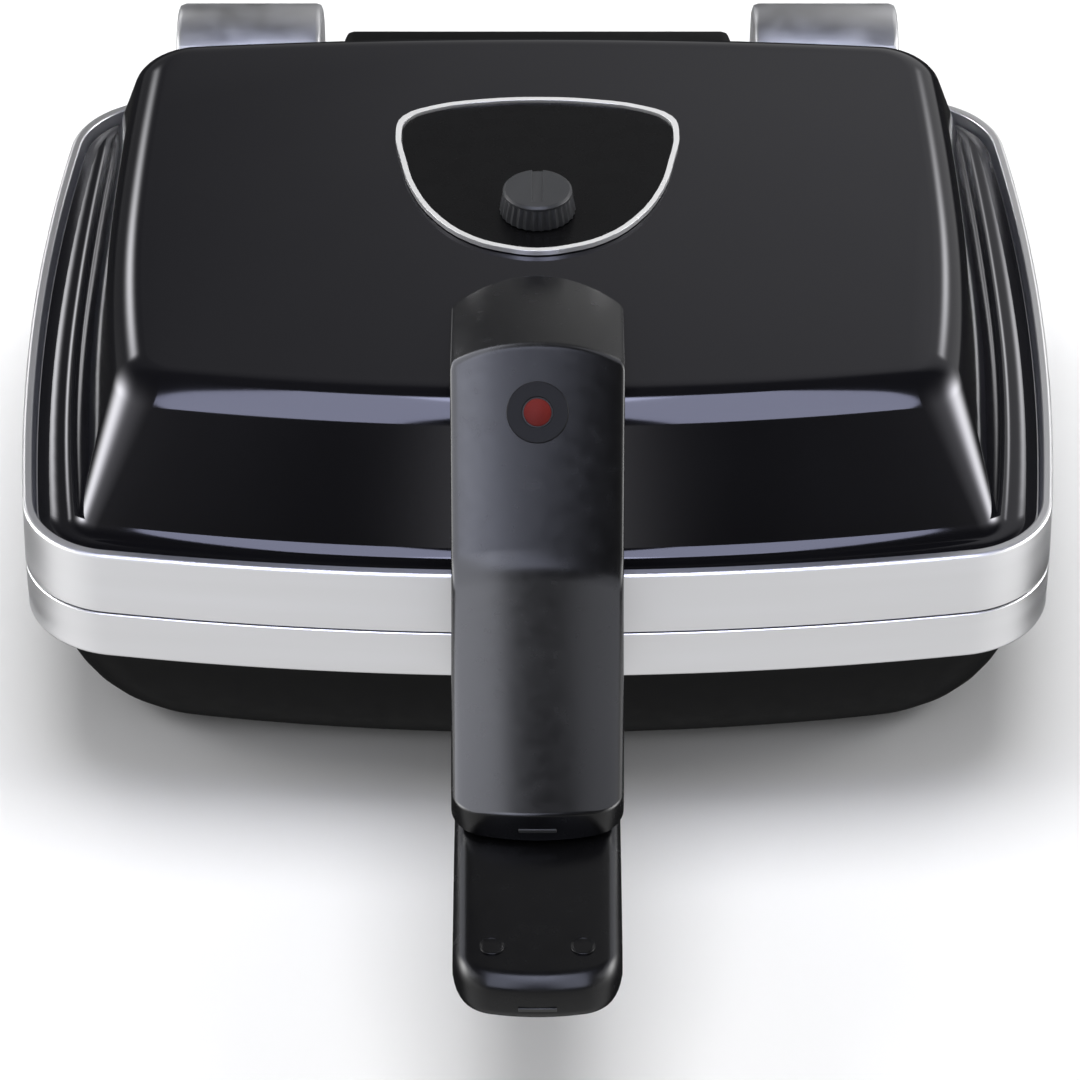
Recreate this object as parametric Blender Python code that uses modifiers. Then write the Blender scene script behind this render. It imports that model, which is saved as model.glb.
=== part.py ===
"""Sandwich and waffle maker: a hinged lid over two facing waffle plates.

Metres, +Z up, +X to the right, the handles point to -Y.  Every piece is drawn
around the split between the two frames, at the middle of their plan, and the
datum empty carries them all to their place above the table.
"""
import math

import bmesh
import bpy
from mathutils import Matrix, Vector

# Plan of the two aluminium frames, measured at the split
FRAME_WIDTH = 0.310
FRAME_DEPTH = 0.2516
FRONT_BOW = 0.0146
BACK_BOW = 0.0080
SIDE_BOW = 0.0090
FRAME_CORNER = 0.0296

# Heights from the table to the top of the lid
FOOT_STAND = 0.0030
SHELL_HEIGHT = 0.0367
LOWER_FRAME_HEIGHT = 0.0163
UPPER_FRAME_HEIGHT = 0.0211
FLANGE_SINK = 0.0036
LID_RISE = 0.0450

# Frames
FRAME_GAP = 0.0003
FRAME_DRAFT = 0.0005
FRAME_EDGE = 0.0006
RIM_WIDTH = 0.0024
FRAME_WALL = 0.0053
LEDGE_REACH = 0.0085
LEDGE_THICKNESS = 0.0030
LOWER_LEDGE_THICKNESS = 0.0024
FIT_GAP = 0.00035
RUNNING_GAP = 0.0001

# Lid shell
LID_SHEET = 0.0012
FLANGE_MARGIN = 0.0008
CREASE_INSET = 0.0100
CREASE_SIDE_INSET = 0.0122
CREASE_BACK_INSET = 0.0062
CREASE_BACK_BOW = 0.0060
CREASE_FRONT_SIDE_BOW = 0.0080
CREASE_BACK_SIDE_BOW = 0.0045
CREASE_CORNER = 0.0115
CREASE_BACK_CORNER = 0.0135
SLOPE_RUN = 0.0284
CREASE_FILLET = 0.0045
LID_FILLET = 0.0120
PLATEAU_SIDE_INSET = 0.0360
PLATEAU_BACK_INSET = 0.0380
PLATEAU_FRONT_BOW = 0.0107
PLATEAU_BACK_BOW = 0.0066
PLATEAU_FRONT_SIDE_BOW = 0.0100
PLATEAU_BACK_SIDE_BOW = 0.0030
PLATEAU_CORNER = 0.0270
PLATEAU_BACK_CORNER = 0.0215

# Lower shell
SHELL_WALL = 0.0022
SHELL_FLOOR_INSET_X = 0.0280
SHELL_FLOOR_INSET_Y = 0.0188
SHELL_FLOOR_BOW = 0.0130
SHELL_FLOOR_SIDE_BOW = 0.0060
SHELL_FLOOR_CORNER = 0.0380

# Waffle plates
PLATE_FACE_Z = 0.0004
PLATE_BACK_RISE = 0.0045
PLATE_STEP = 0.0010
WAFFLE_SIDE_MARGIN = 0.0330
WAFFLE_END_MARGIN = 0.0328
WAFFLE_BRIDGE = 0.0080
WAFFLE_DEPTH = 0.0118
WAFFLE_DRAFT = 0.0025
STUD_HEIGHT = 0.0085
STUD_ROOT = 0.0205
STUD_TIP = 0.0125
STUD_COLUMNS = 4
STUD_ROWS = 6

# Heaters and reflectors
HEATER_RADIUS = 0.00325
HEATER_INSET = 0.0265
HEATER_TAIL_GAP = 0.0300
REFLECTOR_SHEET = 0.0010
REFLECTOR_INSET = 0.0175
REFLECTOR_SLOPE = 0.0070
REFLECTOR_RISE = 0.0095

# Hinges
HINGE_INSET = 0.0610
HINGE_WIDTH = 0.0470
HINGE_RADIUS = 0.0220
HINGE_AXIS_SETBACK = 0.0162
HINGE_AXIS_RISE = 0.0180
HINGE_CHEEK = 0.0060
HINGE_SLOT_RADIUS = 0.0143
HINGE_SLOT_REACH = 0.0400
HINGE_SHOULDER = 0.0090
HINGE_EDGE = 0.0020
HINGE_BRACKET_GAP = 0.0012
LUG_WIDTH = 0.0300
LUG_RADIUS = 0.0100
LUG_NECK = 0.0045
PIN_RADIUS = 0.0040
PIN_HEAD_RADIUS = 0.0062
PIN_HEAD = 0.0016
SLOT_BACK_ANGLE = math.radians(38)
SLOT_FRONT_ANGLE = math.radians(222)
ARM_FRONT_ANGLE = math.radians(126)
ARM_BACK_ANGLE = math.radians(-81)
LUG_BACK_ANGLE = math.radians(-58)
LUG_FRONT_ANGLE = math.radians(207)

# Handles
HANDLE_WIDTH = 0.0500
GRIP_WIDTH = 0.0474
LOWER_GRIP_WIDTH = 0.0458
HANDLE_TOE = 0.0494
HANDLE_TOE_BOW = 0.0150
HANDLE_TOE_LIFT = 0.0022
HANDLE_RIDGE_RISE = 0.0125
HANDLE_RIDGE_SETBACK = 0.0012
HANDLE_RIDGE_BOW = 0.0050
HANDLE_CLEAR_FRONT = 0.0022
HANDLE_BEND_RISE = 0.0055
GRIP_LENGTH = 0.0868
GRIP_END_HEIGHT = 0.0098
GRIP_END_BOW = 0.0020
GRIP_CROWN = 0.0022
HANDLE_EDGE = 0.0035
HANDLE_SPLIT_GAP = 0.0004
LOWER_GRIP_LENGTH = 0.1405
LOWER_GRIP_DROP = 0.0045
LOWER_GRIP_THICKNESS = 0.0180
LOWER_ROOT_THICKNESS = 0.0270
LOWER_END_BOW = 0.0040

# Lamp in the handle
LAMP_RADIUS = 0.0089
LAMP_THICKNESS = 0.0024
LAMP_PROUD = 0.0003
LENS_RADIUS = 0.0040
LENS_DOME = 0.0008

# Plugs in the lower handle
PLUG_RADIUS = 0.0033
PLUG_DEPTH = 0.0022
PLUG_SPACING = 0.0244
PLUG_FROM_TIP = 0.0150

# Badge and thermostat
BADGE_TOE_GAP = 0.0118
BADGE_HEIGHT = 0.0822
BADGE_HALF_WIDTH = 0.0433
BADGE_THICKNESS = 0.0008
BADGE_RIM_WIDTH = 0.0017
BADGE_RIM_HEIGHT = 0.0016
KNOB_FROM_BADGE = 0.0220
KNOB_RADIUS = 0.0115
KNOB_TAPER = 0.0011
KNOB_HEIGHT = 0.0078
KNOB_FLUTE = 0.0004
KNOB_FLUTES = 30
KNOB_BAND = 0.0014
KNOB_BORE_DEPTH = 0.0045
POINTER_LENGTH = 0.0185
POINTER_WIDTH = 0.0032
POINTER_DEPTH = 0.0010
SHAFT_RADIUS = 0.0030
THERMOSTAT_RADIUS = 0.0150
THERMOSTAT_HEIGHT = 0.0170

# Rear cover, mains terminal and inlet
COVER_SIDE_GAP = 0.0070
COVER_DEPTH = 0.0280
COVER_RISE = 0.0270
COVER_DROP = 0.0330
COVER_SWING_GAP = 0.0052
COVER_WALL = 0.0025
COVER_EDGE = 0.0030
TERMINAL_WIDTH = 0.0360
TERMINAL_DEPTH = 0.0100
TERMINAL_HEIGHT = 0.0180
GROMMET_RADIUS = 0.0075
GROMMET_TIP_RADIUS = 0.0055
GROMMET_LENGTH = 0.0080
GROMMET_BORE = 0.0035
GROMMET_DROP = 0.0180

# Feet and base screws
FOOT_RADIUS = 0.0090
FOOT_TOE_RADIUS = 0.0075
FOOT_INSET_X = 0.0390
FOOT_INSET_Y = 0.0370
SCREW_HEAD_RADIUS = 0.0035
SCREW_HEAD_HEIGHT = 0.0016
SCREW_INSET_X = 0.0250
SCREW_INSET_Y = 0.0650

# How finely the round stretches are cut
FRONT_STEPS = 4
CORNER_STEPS = 6
SIDE_STEPS = 6
FILLET_STEPS = 3
ROUND_STEPS = 28
SMALL_STEPS = 16
GRIP_STATIONS = 4
COARSE_STEPS = 2
OVERRUN = 0.0040

# Shares of the sizes that they follow: inward and downward along the lower shell's wall
SHELL_PROFILE_SHARES = ((0, 0), (0, 0.05), (0.06, 0.12), (0.20, 0.40), (0.42, 0.71), (0.70, 0.92), (1, 1))

# Along the handle's top from the toe to the ridge, its slope, and its grip
HANDLE_TOP_SHARES = (0.30, 0.65, 0.90)
HANDLE_SLOPE_SHARES = (0.04, 0.14, 0.36, 0.62, 0.88)
HANDLE_GRIP_SHARES = (0.06, 0.18, 0.42, 0.70, 0.93)
LOWER_END_SHARE = 0.45
LAMP_PLACE_SHARE = 0.31

# Right half of the shield: share of its half width, share of its height from the bottom
BADGE_SHARES = ((0, 1), (0.40, 0.985), (0.76, 0.939), (0.955, 0.872), (1, 0.786), (0.958, 0.586),
                (0.873, 0.392), (0.69, 0.20), (0.46, 0.077), (0.22, 0.020), (0, 0))

# Levels worked out from the sizes above
SPLIT_Z = FOOT_STAND + SHELL_HEIGHT + LOWER_FRAME_HEIGHT
FLANGE_Z = UPPER_FRAME_HEIGHT - FLANGE_SINK
PLATEAU_Z = FLANGE_Z + LID_RISE
UPPER_LEDGE_Z = FLANGE_Z - LID_SHEET - FIT_GAP
UPPER_SEAT_Z = UPPER_LEDGE_Z - LEDGE_THICKNESS
PLATE_RIM_HEIGHT = UPPER_SEAT_Z - FIT_GAP
PLATE_BACK_Z = PLATE_RIM_HEIGHT + PLATE_BACK_RISE
LOWER_SEAT_Z = -PLATE_RIM_HEIGHT - FIT_GAP
LOWER_LEDGE_Z = LOWER_SEAT_Z - LOWER_LEDGE_THICKNESS
SHELL_TOP_Z = LOWER_LEDGE_Z - FIT_GAP
UNDERSIDE_Z = -LOWER_FRAME_HEIGHT - SHELL_HEIGHT
LEDGE_INSET = FRAME_WALL + LEDGE_REACH
PLATE_INSET = FRAME_WALL + FIT_GAP
WAFFLE_WIDTH = FRAME_WIDTH / 2 - WAFFLE_SIDE_MARGIN - WAFFLE_BRIDGE / 2
WAFFLE_SPACING = WAFFLE_WIDTH + WAFFLE_BRIDGE
WAFFLE_LENGTH = FRAME_DEPTH - 2 * WAFFLE_END_MARGIN
HINGE_SPACING = FRAME_WIDTH - 2 * HINGE_INSET
HINGE_Y = FRAME_DEPTH / 2 + HINGE_AXIS_SETBACK
HINGE_Z = HINGE_AXIS_RISE
FRAME_FRONT_Y = -FRAME_DEPTH / 2
PLATEAU_FRONT_Y = FRAME_FRONT_Y + CREASE_INSET + SLOPE_RUN
BADGE_Y = PLATEAU_FRONT_Y + HANDLE_TOE + BADGE_TOE_GAP
KNOB_Y = BADGE_Y + KNOB_FROM_BADGE
SHELL_FLOOR_HALF_X = FRAME_WIDTH / 2 - SHELL_FLOOR_INSET_X
SHELL_FLOOR_HALF_Y = FRAME_DEPTH / 2 - SHELL_FLOOR_INSET_Y
HANDLE_TIP_Y = FRAME_FRONT_Y - LOWER_GRIP_LENGTH
BACK_Y = HINGE_Y + HINGE_RADIUS
DATUM_Y = -(HANDLE_TIP_Y + BACK_Y) / 2


def clear_scene():
    for obj in list(bpy.data.objects):
        bpy.data.objects.remove(obj, do_unlink=True)


def make_collection(name):
    collection = bpy.data.collections.new(name)
    bpy.context.scene.collection.children.link(collection)
    return collection


def make_material(name, color, metallic, roughness):
    material = bpy.data.materials.new(name)
    material.use_nodes = True
    shader = material.node_tree.nodes["Principled BSDF"]
    shader.inputs["Base Color"].default_value = (*color, 1)
    shader.inputs["Metallic"].default_value = metallic
    shader.inputs["Roughness"].default_value = roughness
    return material


def arc_points(centre, radius, start, end, steps):
    """Points on an arc, both ends included."""
    points = []
    for step in range(steps + 1):
        angle = start + (end - start) * step / steps
        points.append((centre[0] + radius * math.cos(angle), centre[1] + radius * math.sin(angle)))
    return points


def corner_centre(end_centre, end_reach, side_centre, side_reach):
    """Where a corner's circle sits when it touches an end arc and a side arc."""
    span = Vector(side_centre) - Vector(end_centre)
    along = (span.length_squared + end_reach ** 2 - side_reach ** 2) / (2 * span.length)
    across = math.sqrt(end_reach ** 2 - along ** 2)
    unit = span.normalized()
    foot = Vector(end_centre) + unit * along
    first = foot + Vector((-unit.y, unit.x)) * across
    second = foot - Vector((-unit.y, unit.x)) * across
    return max(first, second, key=lambda point: point.x)


def quarter(width, half_depth, end_bow, side_bow, corner, inset, coarse):
    """Right rear quarter of a bowed, rounded rectangle, from the end to the side."""
    half_width = width / 2
    end_radius = (half_width ** 2 + end_bow ** 2) / (2 * end_bow)
    side_radius = (half_depth ** 2 + side_bow ** 2) / (2 * side_bow)
    end_centre = (0, half_depth - end_radius)
    side_centre = (half_width - side_radius, 0)
    centre = corner_centre(end_centre, end_radius - corner, side_centre, side_radius - corner)
    toward_end = math.atan2(centre.y - end_centre[1], centre.x - end_centre[0])
    toward_side = math.atan2(centre.y - side_centre[1], centre.x - side_centre[0])
    end_steps = FRONT_STEPS // coarse
    corner_steps = CORNER_STEPS // coarse
    side_steps = SIDE_STEPS // 2 // coarse
    points = arc_points(end_centre, end_radius - inset, math.pi / 2, toward_end, end_steps)
    points += arc_points(centre, corner - inset, toward_end, toward_side, corner_steps)[1:]
    points += arc_points(side_centre, side_radius - inset, toward_side, 0, side_steps)[1:]
    return points


def plan_outline(width, front_half, back_half, inset=0, coarse=1):
    """Closed outline, counter-clockwise from the middle of the front.

    Each half has its reach from the middle, end bow, side bow and corner radius.
    """
    back = quarter(width, *back_half, inset, coarse)
    front = [(x, -y) for x, y in quarter(width, *front_half, inset, coarse)]
    right = front + back[::-1][1:]
    left = [(-x, y) for x, y in right[::-1][1:-1]]
    return right + left


def frame_outline(inset=0, coarse=1):
    half_depth = FRAME_DEPTH / 2
    return plan_outline(FRAME_WIDTH, (half_depth, FRONT_BOW, SIDE_BOW, FRAME_CORNER),
                        (half_depth, BACK_BOW, SIDE_BOW, FRAME_CORNER), inset, coarse)


def blend(start, end, share):
    return start + (end - start) * share


def blend_halves(start, end, share):
    return [blend(first, last, share) for first, last in zip(start, end)]


def lid_outline(share, swell=0):
    """Outline of the lid between its crease (share 0) and its plateau (share 1)."""
    reach = FRAME_DEPTH / 2
    front = blend_halves((reach - CREASE_INSET, FRONT_BOW, CREASE_FRONT_SIDE_BOW, CREASE_CORNER),
                         (-PLATEAU_FRONT_Y, PLATEAU_FRONT_BOW, PLATEAU_FRONT_SIDE_BOW, PLATEAU_CORNER),
                         share)
    back = blend_halves((reach - CREASE_BACK_INSET, CREASE_BACK_BOW, CREASE_BACK_SIDE_BOW,
                         CREASE_BACK_CORNER),
                        (reach - PLATEAU_BACK_INSET, PLATEAU_BACK_BOW, PLATEAU_BACK_SIDE_BOW,
                         PLATEAU_BACK_CORNER), share)
    width = FRAME_WIDTH - 2 * blend(CREASE_SIDE_INSET, PLATEAU_SIDE_INSET, share)
    return plan_outline(width, front, back, -swell)


def lid_profile():
    """Run inwards and rise of the lid's wall: hollow fillet, straight slope, round fillet."""
    fillets = CREASE_FILLET + LID_FILLET
    rise = LID_RISE - fillets
    span = math.hypot(SLOPE_RUN, rise)
    slope = math.atan2(rise, SLOPE_RUN) + math.asin(fillets / span)
    points = []
    for step in range(FILLET_STEPS + 1):
        turn = slope * step / FILLET_STEPS
        points.append((CREASE_FILLET * math.sin(turn), CREASE_FILLET * (1 - math.cos(turn))))
    for step in range(FILLET_STEPS + 1):
        turn = slope * (1 - step / FILLET_STEPS)
        points.append((SLOPE_RUN - LID_FILLET * math.sin(turn),
                       LID_RISE - LID_FILLET * (1 - math.cos(turn))))
    return points


def shell_outline(share, swell=0):
    """Outline of the lower shell between its rim (share 0) and its floor (share 1)."""
    rim_inset = FRAME_WALL + FIT_GAP
    reach = FRAME_DEPTH / 2
    floor = (reach - SHELL_FLOOR_INSET_Y, SHELL_FLOOR_BOW, SHELL_FLOOR_SIDE_BOW, SHELL_FLOOR_CORNER)
    front = blend_halves((reach - rim_inset, FRONT_BOW, SIDE_BOW, FRAME_CORNER - rim_inset), floor, share)
    back = blend_halves((reach - rim_inset, BACK_BOW, SIDE_BOW, FRAME_CORNER - rim_inset), floor, share)
    width = FRAME_WIDTH - 2 * blend(rim_inset, SHELL_FLOOR_INSET_X, share)
    return plan_outline(width, front, back, -swell)


def shell_rings(swell=0):
    rim = SHELL_TOP_Z
    rings = []
    for inward, downward in SHELL_PROFILE_SHARES:
        rings.append(ring(shell_outline(inward, swell), blend(rim, UNDERSIDE_Z, downward)))
    return rings


def ring(outline, height):
    return [Vector((x, y, height)) for x, y in outline]


def loft(rings, closed=False, caps=(True, True)):
    """Skin a run of matching rings; closed joins the last ring to the first."""
    mesh = bmesh.new()
    rows = [[mesh.verts.new(point) for point in points] for points in rings]
    count = len(rows[0])
    pairs = list(zip(rows, rows[1:]))
    if closed:
        pairs.append((rows[-1], rows[0]))
    for lower, upper in pairs:
        for index in range(count):
            following = (index + 1) % count
            mesh.faces.new((lower[index], lower[following], upper[following], upper[index]))
    if not closed and caps[0]:
        mesh.faces.new(rows[0])
    if not closed and caps[1]:
        mesh.faces.new(rows[-1])
    bmesh.ops.recalc_face_normals(mesh, faces=mesh.faces)
    if not closed and not caps[0]:
        turn_outwards(mesh, rings[-1][0].z - rings[0][0].z)
    return mesh


def turn_outwards(mesh, rise):
    """Make an open shell's cap face away from its mouth, and the walls with it."""
    cap = max(mesh.faces, key=lambda face: len(face.verts))
    cap.normal_update()
    if cap.normal.z * rise < 0:
        bmesh.ops.reverse_faces(mesh, faces=mesh.faces)


def slab(points, half_width):
    """A side profile in Y and Z, given its thickness along X."""
    mesh = bmesh.new()
    face = mesh.faces.new([mesh.verts.new((-half_width, y, z)) for y, z in points])
    grown = bmesh.ops.extrude_face_region(mesh, geom=[face])
    moved = [item for item in grown["geom"] if isinstance(item, bmesh.types.BMVert)]
    bmesh.ops.translate(mesh, vec=(2 * half_width, 0, 0), verts=moved)
    bmesh.ops.recalc_face_normals(mesh, faces=mesh.faces)
    return mesh


def block(size, centre):
    mesh = bmesh.new()
    bmesh.ops.create_cube(mesh, size=1)
    bmesh.ops.scale(mesh, vec=size, verts=mesh.verts)
    bmesh.ops.translate(mesh, vec=centre, verts=mesh.verts)
    return mesh


def rod(radius, length, centre, axis="Z", steps=ROUND_STEPS):
    """A cylinder along X or Z."""
    mesh = bmesh.new()
    bmesh.ops.create_cone(mesh, cap_ends=True, segments=steps, radius1=radius, radius2=radius, depth=length)
    if axis == "X":
        bmesh.ops.rotate(mesh, cent=(0, 0, 0), matrix=Matrix.Rotation(math.pi / 2, 3, "Y"),
                         verts=mesh.verts)
    bmesh.ops.translate(mesh, vec=centre, verts=mesh.verts)
    return mesh


def smooth(obj, angle=math.radians(35)):
    obj.data.shade_smooth()
    obj.data.set_sharp_from_angle(angle=angle)


def add_object(name, mesh, owner, material=None):
    """Turn a bmesh into an object that rides on its body's empty."""
    data = bpy.data.meshes.new(name)
    mesh.to_mesh(data)
    mesh.free()
    obj = bpy.data.objects.new(name, data)
    place(obj, owner)
    if material is None:
        cutters.objects.link(obj)
        obj.hide_render = True
        obj.display_type = "WIRE"
    else:
        pieces.objects.link(obj)
        data.materials.append(material)
        smooth(obj)
    return obj


def place(obj, owner):
    """Parent a piece to its body, whose empty lies on the joint's axis."""
    obj.parent = owner
    while owner:
        obj.location = obj.location - (owner.location if owner.parent else Vector())
        owner = owner.parent


def cut(obj, cutter, operation="DIFFERENCE"):
    modifier = obj.modifiers.new(cutter.name, "BOOLEAN")
    modifier.operation = operation
    modifier.solver = "EXACT"
    modifier.object = cutter


def solidify(obj, thickness):
    modifier = obj.modifiers.new("wall", "SOLIDIFY")
    modifier.thickness = thickness
    modifier.offset = -1
    modifier.use_even_offset = True


def bevel(obj, width, segments=2, angle=math.radians(50)):
    modifier = obj.modifiers.new("edges", "BEVEL")
    modifier.width = width
    modifier.segments = segments
    modifier.limit_method = "ANGLE"
    modifier.angle_limit = angle


def turned(name, profile, owner, material, centre, hollow=False, steps=SMALL_STEPS):
    """A turned piece; its profile runs down the outside, and up the bore where it is hollow."""
    mesh = bmesh.new()
    verts = [mesh.verts.new((radius, 0, height)) for radius, height in profile]
    for start, end in zip(verts, verts[1:]):
        mesh.edges.new((start, end))
    if hollow:
        mesh.edges.new((verts[-1], verts[0]))
    obj = add_object(name, mesh, owner, material)
    obj.location = obj.location + Vector(centre)
    modifier = obj.modifiers.new("turn", "SCREW")
    modifier.steps = steps
    modifier.render_steps = steps
    modifier.use_merge_vertices = True
    modifier.merge_threshold = 0.00001
    modifier.use_smooth_shade = True
    return obj


def make_empty(name, location, parent=None):
    empty = bpy.data.objects.new(name, None)
    pieces.objects.link(empty)
    empty.location = location
    empty.parent = parent
    return empty


# The collections, the bodies' empties and the materials
clear_scene()
pieces = make_collection("sandwich_and_waffle_maker")
cutters = make_collection("cutters")
base = make_empty("base_datum", (0, DATUM_Y, SPLIT_Z))
lid = make_empty("lid_hinge_axis", (0, HINGE_Y, HINGE_Z), base)
knob = make_empty("knob_axis", (0, KNOB_Y - HINGE_Y, PLATEAU_Z - HINGE_Z), lid)

enamel = make_material("black_enamel", (0.012, 0.012, 0.014), 0.0, 0.08)
cast_aluminium = make_material("satin_aluminium", (0.62, 0.62, 0.64), 1.0, 0.35)
plate_coating = make_material("non_stick_coating", (0.03, 0.03, 0.03), 0.0, 0.45)
moulded_black = make_material("moulded_black", (0.018, 0.018, 0.020), 0.0, 0.42)
knob_grey = make_material("knob_grey", (0.035, 0.036, 0.038), 0.0, 0.40)
bright_trim = make_material("bright_trim", (0.75, 0.75, 0.77), 1.0, 0.18)
badge_black = make_material("badge_black", (0.010, 0.010, 0.011), 0.0, 0.20)
lamp_red = make_material("lamp_red", (0.40, 0.010, 0.010), 0.0, 0.25)
rubber_black = make_material("rubber_black", (0.020, 0.020, 0.020), 0.0, 0.75)
zinc_steel = make_material("zinc_steel", (0.55, 0.55, 0.56), 1.0, 0.30)
heater_sheath = make_material("heater_sheath", (0.22, 0.21, 0.20), 0.8, 0.50)


def make_envelopes():
    """Cutters that seat the handles and the hinges on the frames, the lid and the shell."""
    levels = (-LOWER_FRAME_HEIGHT - FIT_GAP, UPPER_FRAME_HEIGHT + FIT_GAP)
    frames = add_object("frame_envelope", loft([ring(frame_outline(-FIT_GAP), z) for z in levels]), base)
    walls = [ring(lid_outline(run / SLOPE_RUN, FIT_GAP), FLANGE_Z + rise + FIT_GAP)
             for run, rise in lid_profile()]
    lid_body = add_object("lid_envelope", loft(walls), base)
    shell_body = add_object("shell_envelope", loft(shell_rings(FIT_GAP)), base)
    return frames, lid_body, shell_body


def make_frames():
    """Two cast frames, each with a drafted wall and a ledge that carries its plate."""
    rim_inset = FRAME_DRAFT + FRAME_EDGE
    upper_profile = [
        (0, FRAME_GAP),
        (FRAME_DRAFT, UPPER_FRAME_HEIGHT - FRAME_EDGE),
        (rim_inset, UPPER_FRAME_HEIGHT),
        (rim_inset + RIM_WIDTH, UPPER_FRAME_HEIGHT),
        (rim_inset + RIM_WIDTH + FRAME_EDGE, UPPER_LEDGE_Z),
        (LEDGE_INSET, UPPER_LEDGE_Z),
        (LEDGE_INSET, UPPER_SEAT_Z),
        (FRAME_WALL, UPPER_SEAT_Z),
        (FRAME_WALL, FRAME_GAP),
    ]
    lower_profile = [
        (0, -FRAME_GAP),
        (0, -LOWER_FRAME_HEIGHT + FRAME_EDGE),
        (FRAME_EDGE, -LOWER_FRAME_HEIGHT),
        (FRAME_WALL, -LOWER_FRAME_HEIGHT),
        (FRAME_WALL, LOWER_LEDGE_Z),
        (LEDGE_INSET, LOWER_LEDGE_Z),
        (LEDGE_INSET, LOWER_SEAT_Z),
        (FRAME_WALL, LOWER_SEAT_Z),
        (FRAME_WALL, -FRAME_GAP),
    ]
    for name, profile, owner in (("upper_frame", upper_profile, lid),
                                 ("lower_frame", lower_profile, base)):
        rings = [ring(frame_outline(inset), z) for inset, z in profile]
        add_object(name, loft(rings, closed=True), owner, cast_aluminium)


def make_lid_shell(shaft_hole):
    """Enamelled steel pressing: flange, crease, slope, round fillet and plateau."""
    flange_inset = FRAME_DRAFT + FRAME_EDGE + RIM_WIDTH + FRAME_EDGE + FLANGE_MARGIN
    rings = [ring(frame_outline(flange_inset), FLANGE_Z)]
    rings += [ring(lid_outline(run / SLOPE_RUN), FLANGE_Z + rise) for run, rise in lid_profile()]
    shell = add_object("upper_shell", loft(rings, caps=(False, True)), lid, enamel)
    solidify(shell, LID_SHEET)
    cut(shell, shaft_hole)


def make_lower_shell():
    """Moulded bowl under the lower frame, closed by its floor."""
    shell = add_object("lower_shell", loft(shell_rings(), caps=(False, True)), base, moulded_black)
    solidify(shell, SHELL_WALL)


def frustum(bottom_size, top_size, bottom_z, top_z, centre):
    rings = []
    for size, z in ((bottom_size, bottom_z), (top_size, top_z)):
        half_x = size[0] / 2
        half_y = size[1] / 2
        corners = ((-half_x, -half_y), (half_x, -half_y), (half_x, half_y), (-half_x, half_y))
        rings.append([Vector((centre[0] + x, centre[1] + y, z)) for x, y in corners])
    return loft(rings)


def make_plate(name, owner, facing):
    """Cast plate with two waffle recesses; facing is 1 for the upper plate, -1 for the lower."""
    levels = ((PLATE_INSET, PLATE_FACE_Z), (PLATE_INSET, PLATE_RIM_HEIGHT),
              (LEDGE_INSET + PLATE_STEP, PLATE_RIM_HEIGHT),
              (LEDGE_INSET + 2 * PLATE_STEP, PLATE_BACK_Z))
    rings = [ring(frame_outline(inset, COARSE_STEPS), facing * z) for inset, z in levels]
    plate = add_object(name, loft(rings), owner, plate_coating)
    recesses = bmesh.new()
    studs = bmesh.new()
    floor_z = PLATE_FACE_Z + WAFFLE_DEPTH
    drafted = (WAFFLE_WIDTH - 2 * WAFFLE_DRAFT, WAFFLE_LENGTH - 2 * WAFFLE_DRAFT)
    for side in (-1, 1):
        middle = side * WAFFLE_SPACING / 2
        recess = frustum((WAFFLE_WIDTH, WAFFLE_LENGTH), drafted, facing * (PLATE_FACE_Z - WAFFLE_DRAFT),
                         facing * floor_z, (middle, 0))
        merge(recesses, recess)
        for column in range(STUD_COLUMNS):
            for row in range(STUD_ROWS):
                place_x = middle + (column - (STUD_COLUMNS - 1) / 2) * drafted[0] / STUD_COLUMNS
                place_y = (row - (STUD_ROWS - 1) / 2) * drafted[1] / STUD_ROWS
                merge(studs, frustum((STUD_ROOT, STUD_ROOT), (STUD_TIP, STUD_TIP),
                                     facing * (floor_z + PLATE_STEP), facing * (floor_z - STUD_HEIGHT),
                                     (place_x, place_y)))
    cut(plate, add_object(name + "_recess", recesses, owner))
    cut(plate, add_object(name + "_studs", studs, owner), "UNION")


def merge(target, source):
    """Add one bmesh to another."""
    data = bpy.data.meshes.new("join")
    source.to_mesh(data)
    source.free()
    target.from_mesh(data)
    bpy.data.meshes.remove(data)


def make_heater(name, owner, facing):
    """Tubular element in an open loop on the back of the plate."""
    height = facing * (PLATE_BACK_Z + HEATER_RADIUS + FIT_GAP)
    loop = [point for point in frame_outline(HEATER_INSET, COARSE_STEPS)
            if point[1] < 0 or abs(point[0]) > HEATER_TAIL_GAP / 2]
    back = [index for index, point in enumerate(loop) if point[1] > 0 and point[0] < 0][0]
    loop = loop[back:] + loop[:back]
    curve = bpy.data.curves.new(name, "CURVE")
    curve.dimensions = "3D"
    curve.bevel_depth = HEATER_RADIUS
    curve.bevel_resolution = 2
    curve.use_fill_caps = True
    spline = curve.splines.new("POLY")
    spline.points.add(len(loop) - 1)
    for spot, (x, y) in zip(spline.points, loop):
        spot.co = (x, y, height, 1)
    obj = bpy.data.objects.new(name, curve)
    place(obj, owner)
    pieces.objects.link(obj)
    curve.materials.append(heater_sheath)


def make_reflector(name, owner, facing):
    """Pressed tray that throws the heat back at the plate."""
    seat = PLATE_BACK_Z + FIT_GAP + REFLECTOR_SHEET
    levels = ((REFLECTOR_INSET, seat), (REFLECTOR_INSET + REFLECTOR_SHEET, seat),
              (REFLECTOR_INSET + REFLECTOR_SLOPE, seat + REFLECTOR_RISE))
    rings = [ring(frame_outline(inset, COARSE_STEPS), facing * z) for inset, z in levels]
    tray = add_object(name, loft(rings, caps=(False, True)), owner, bright_trim)
    solidify(tray, REFLECTOR_SHEET)


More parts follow.
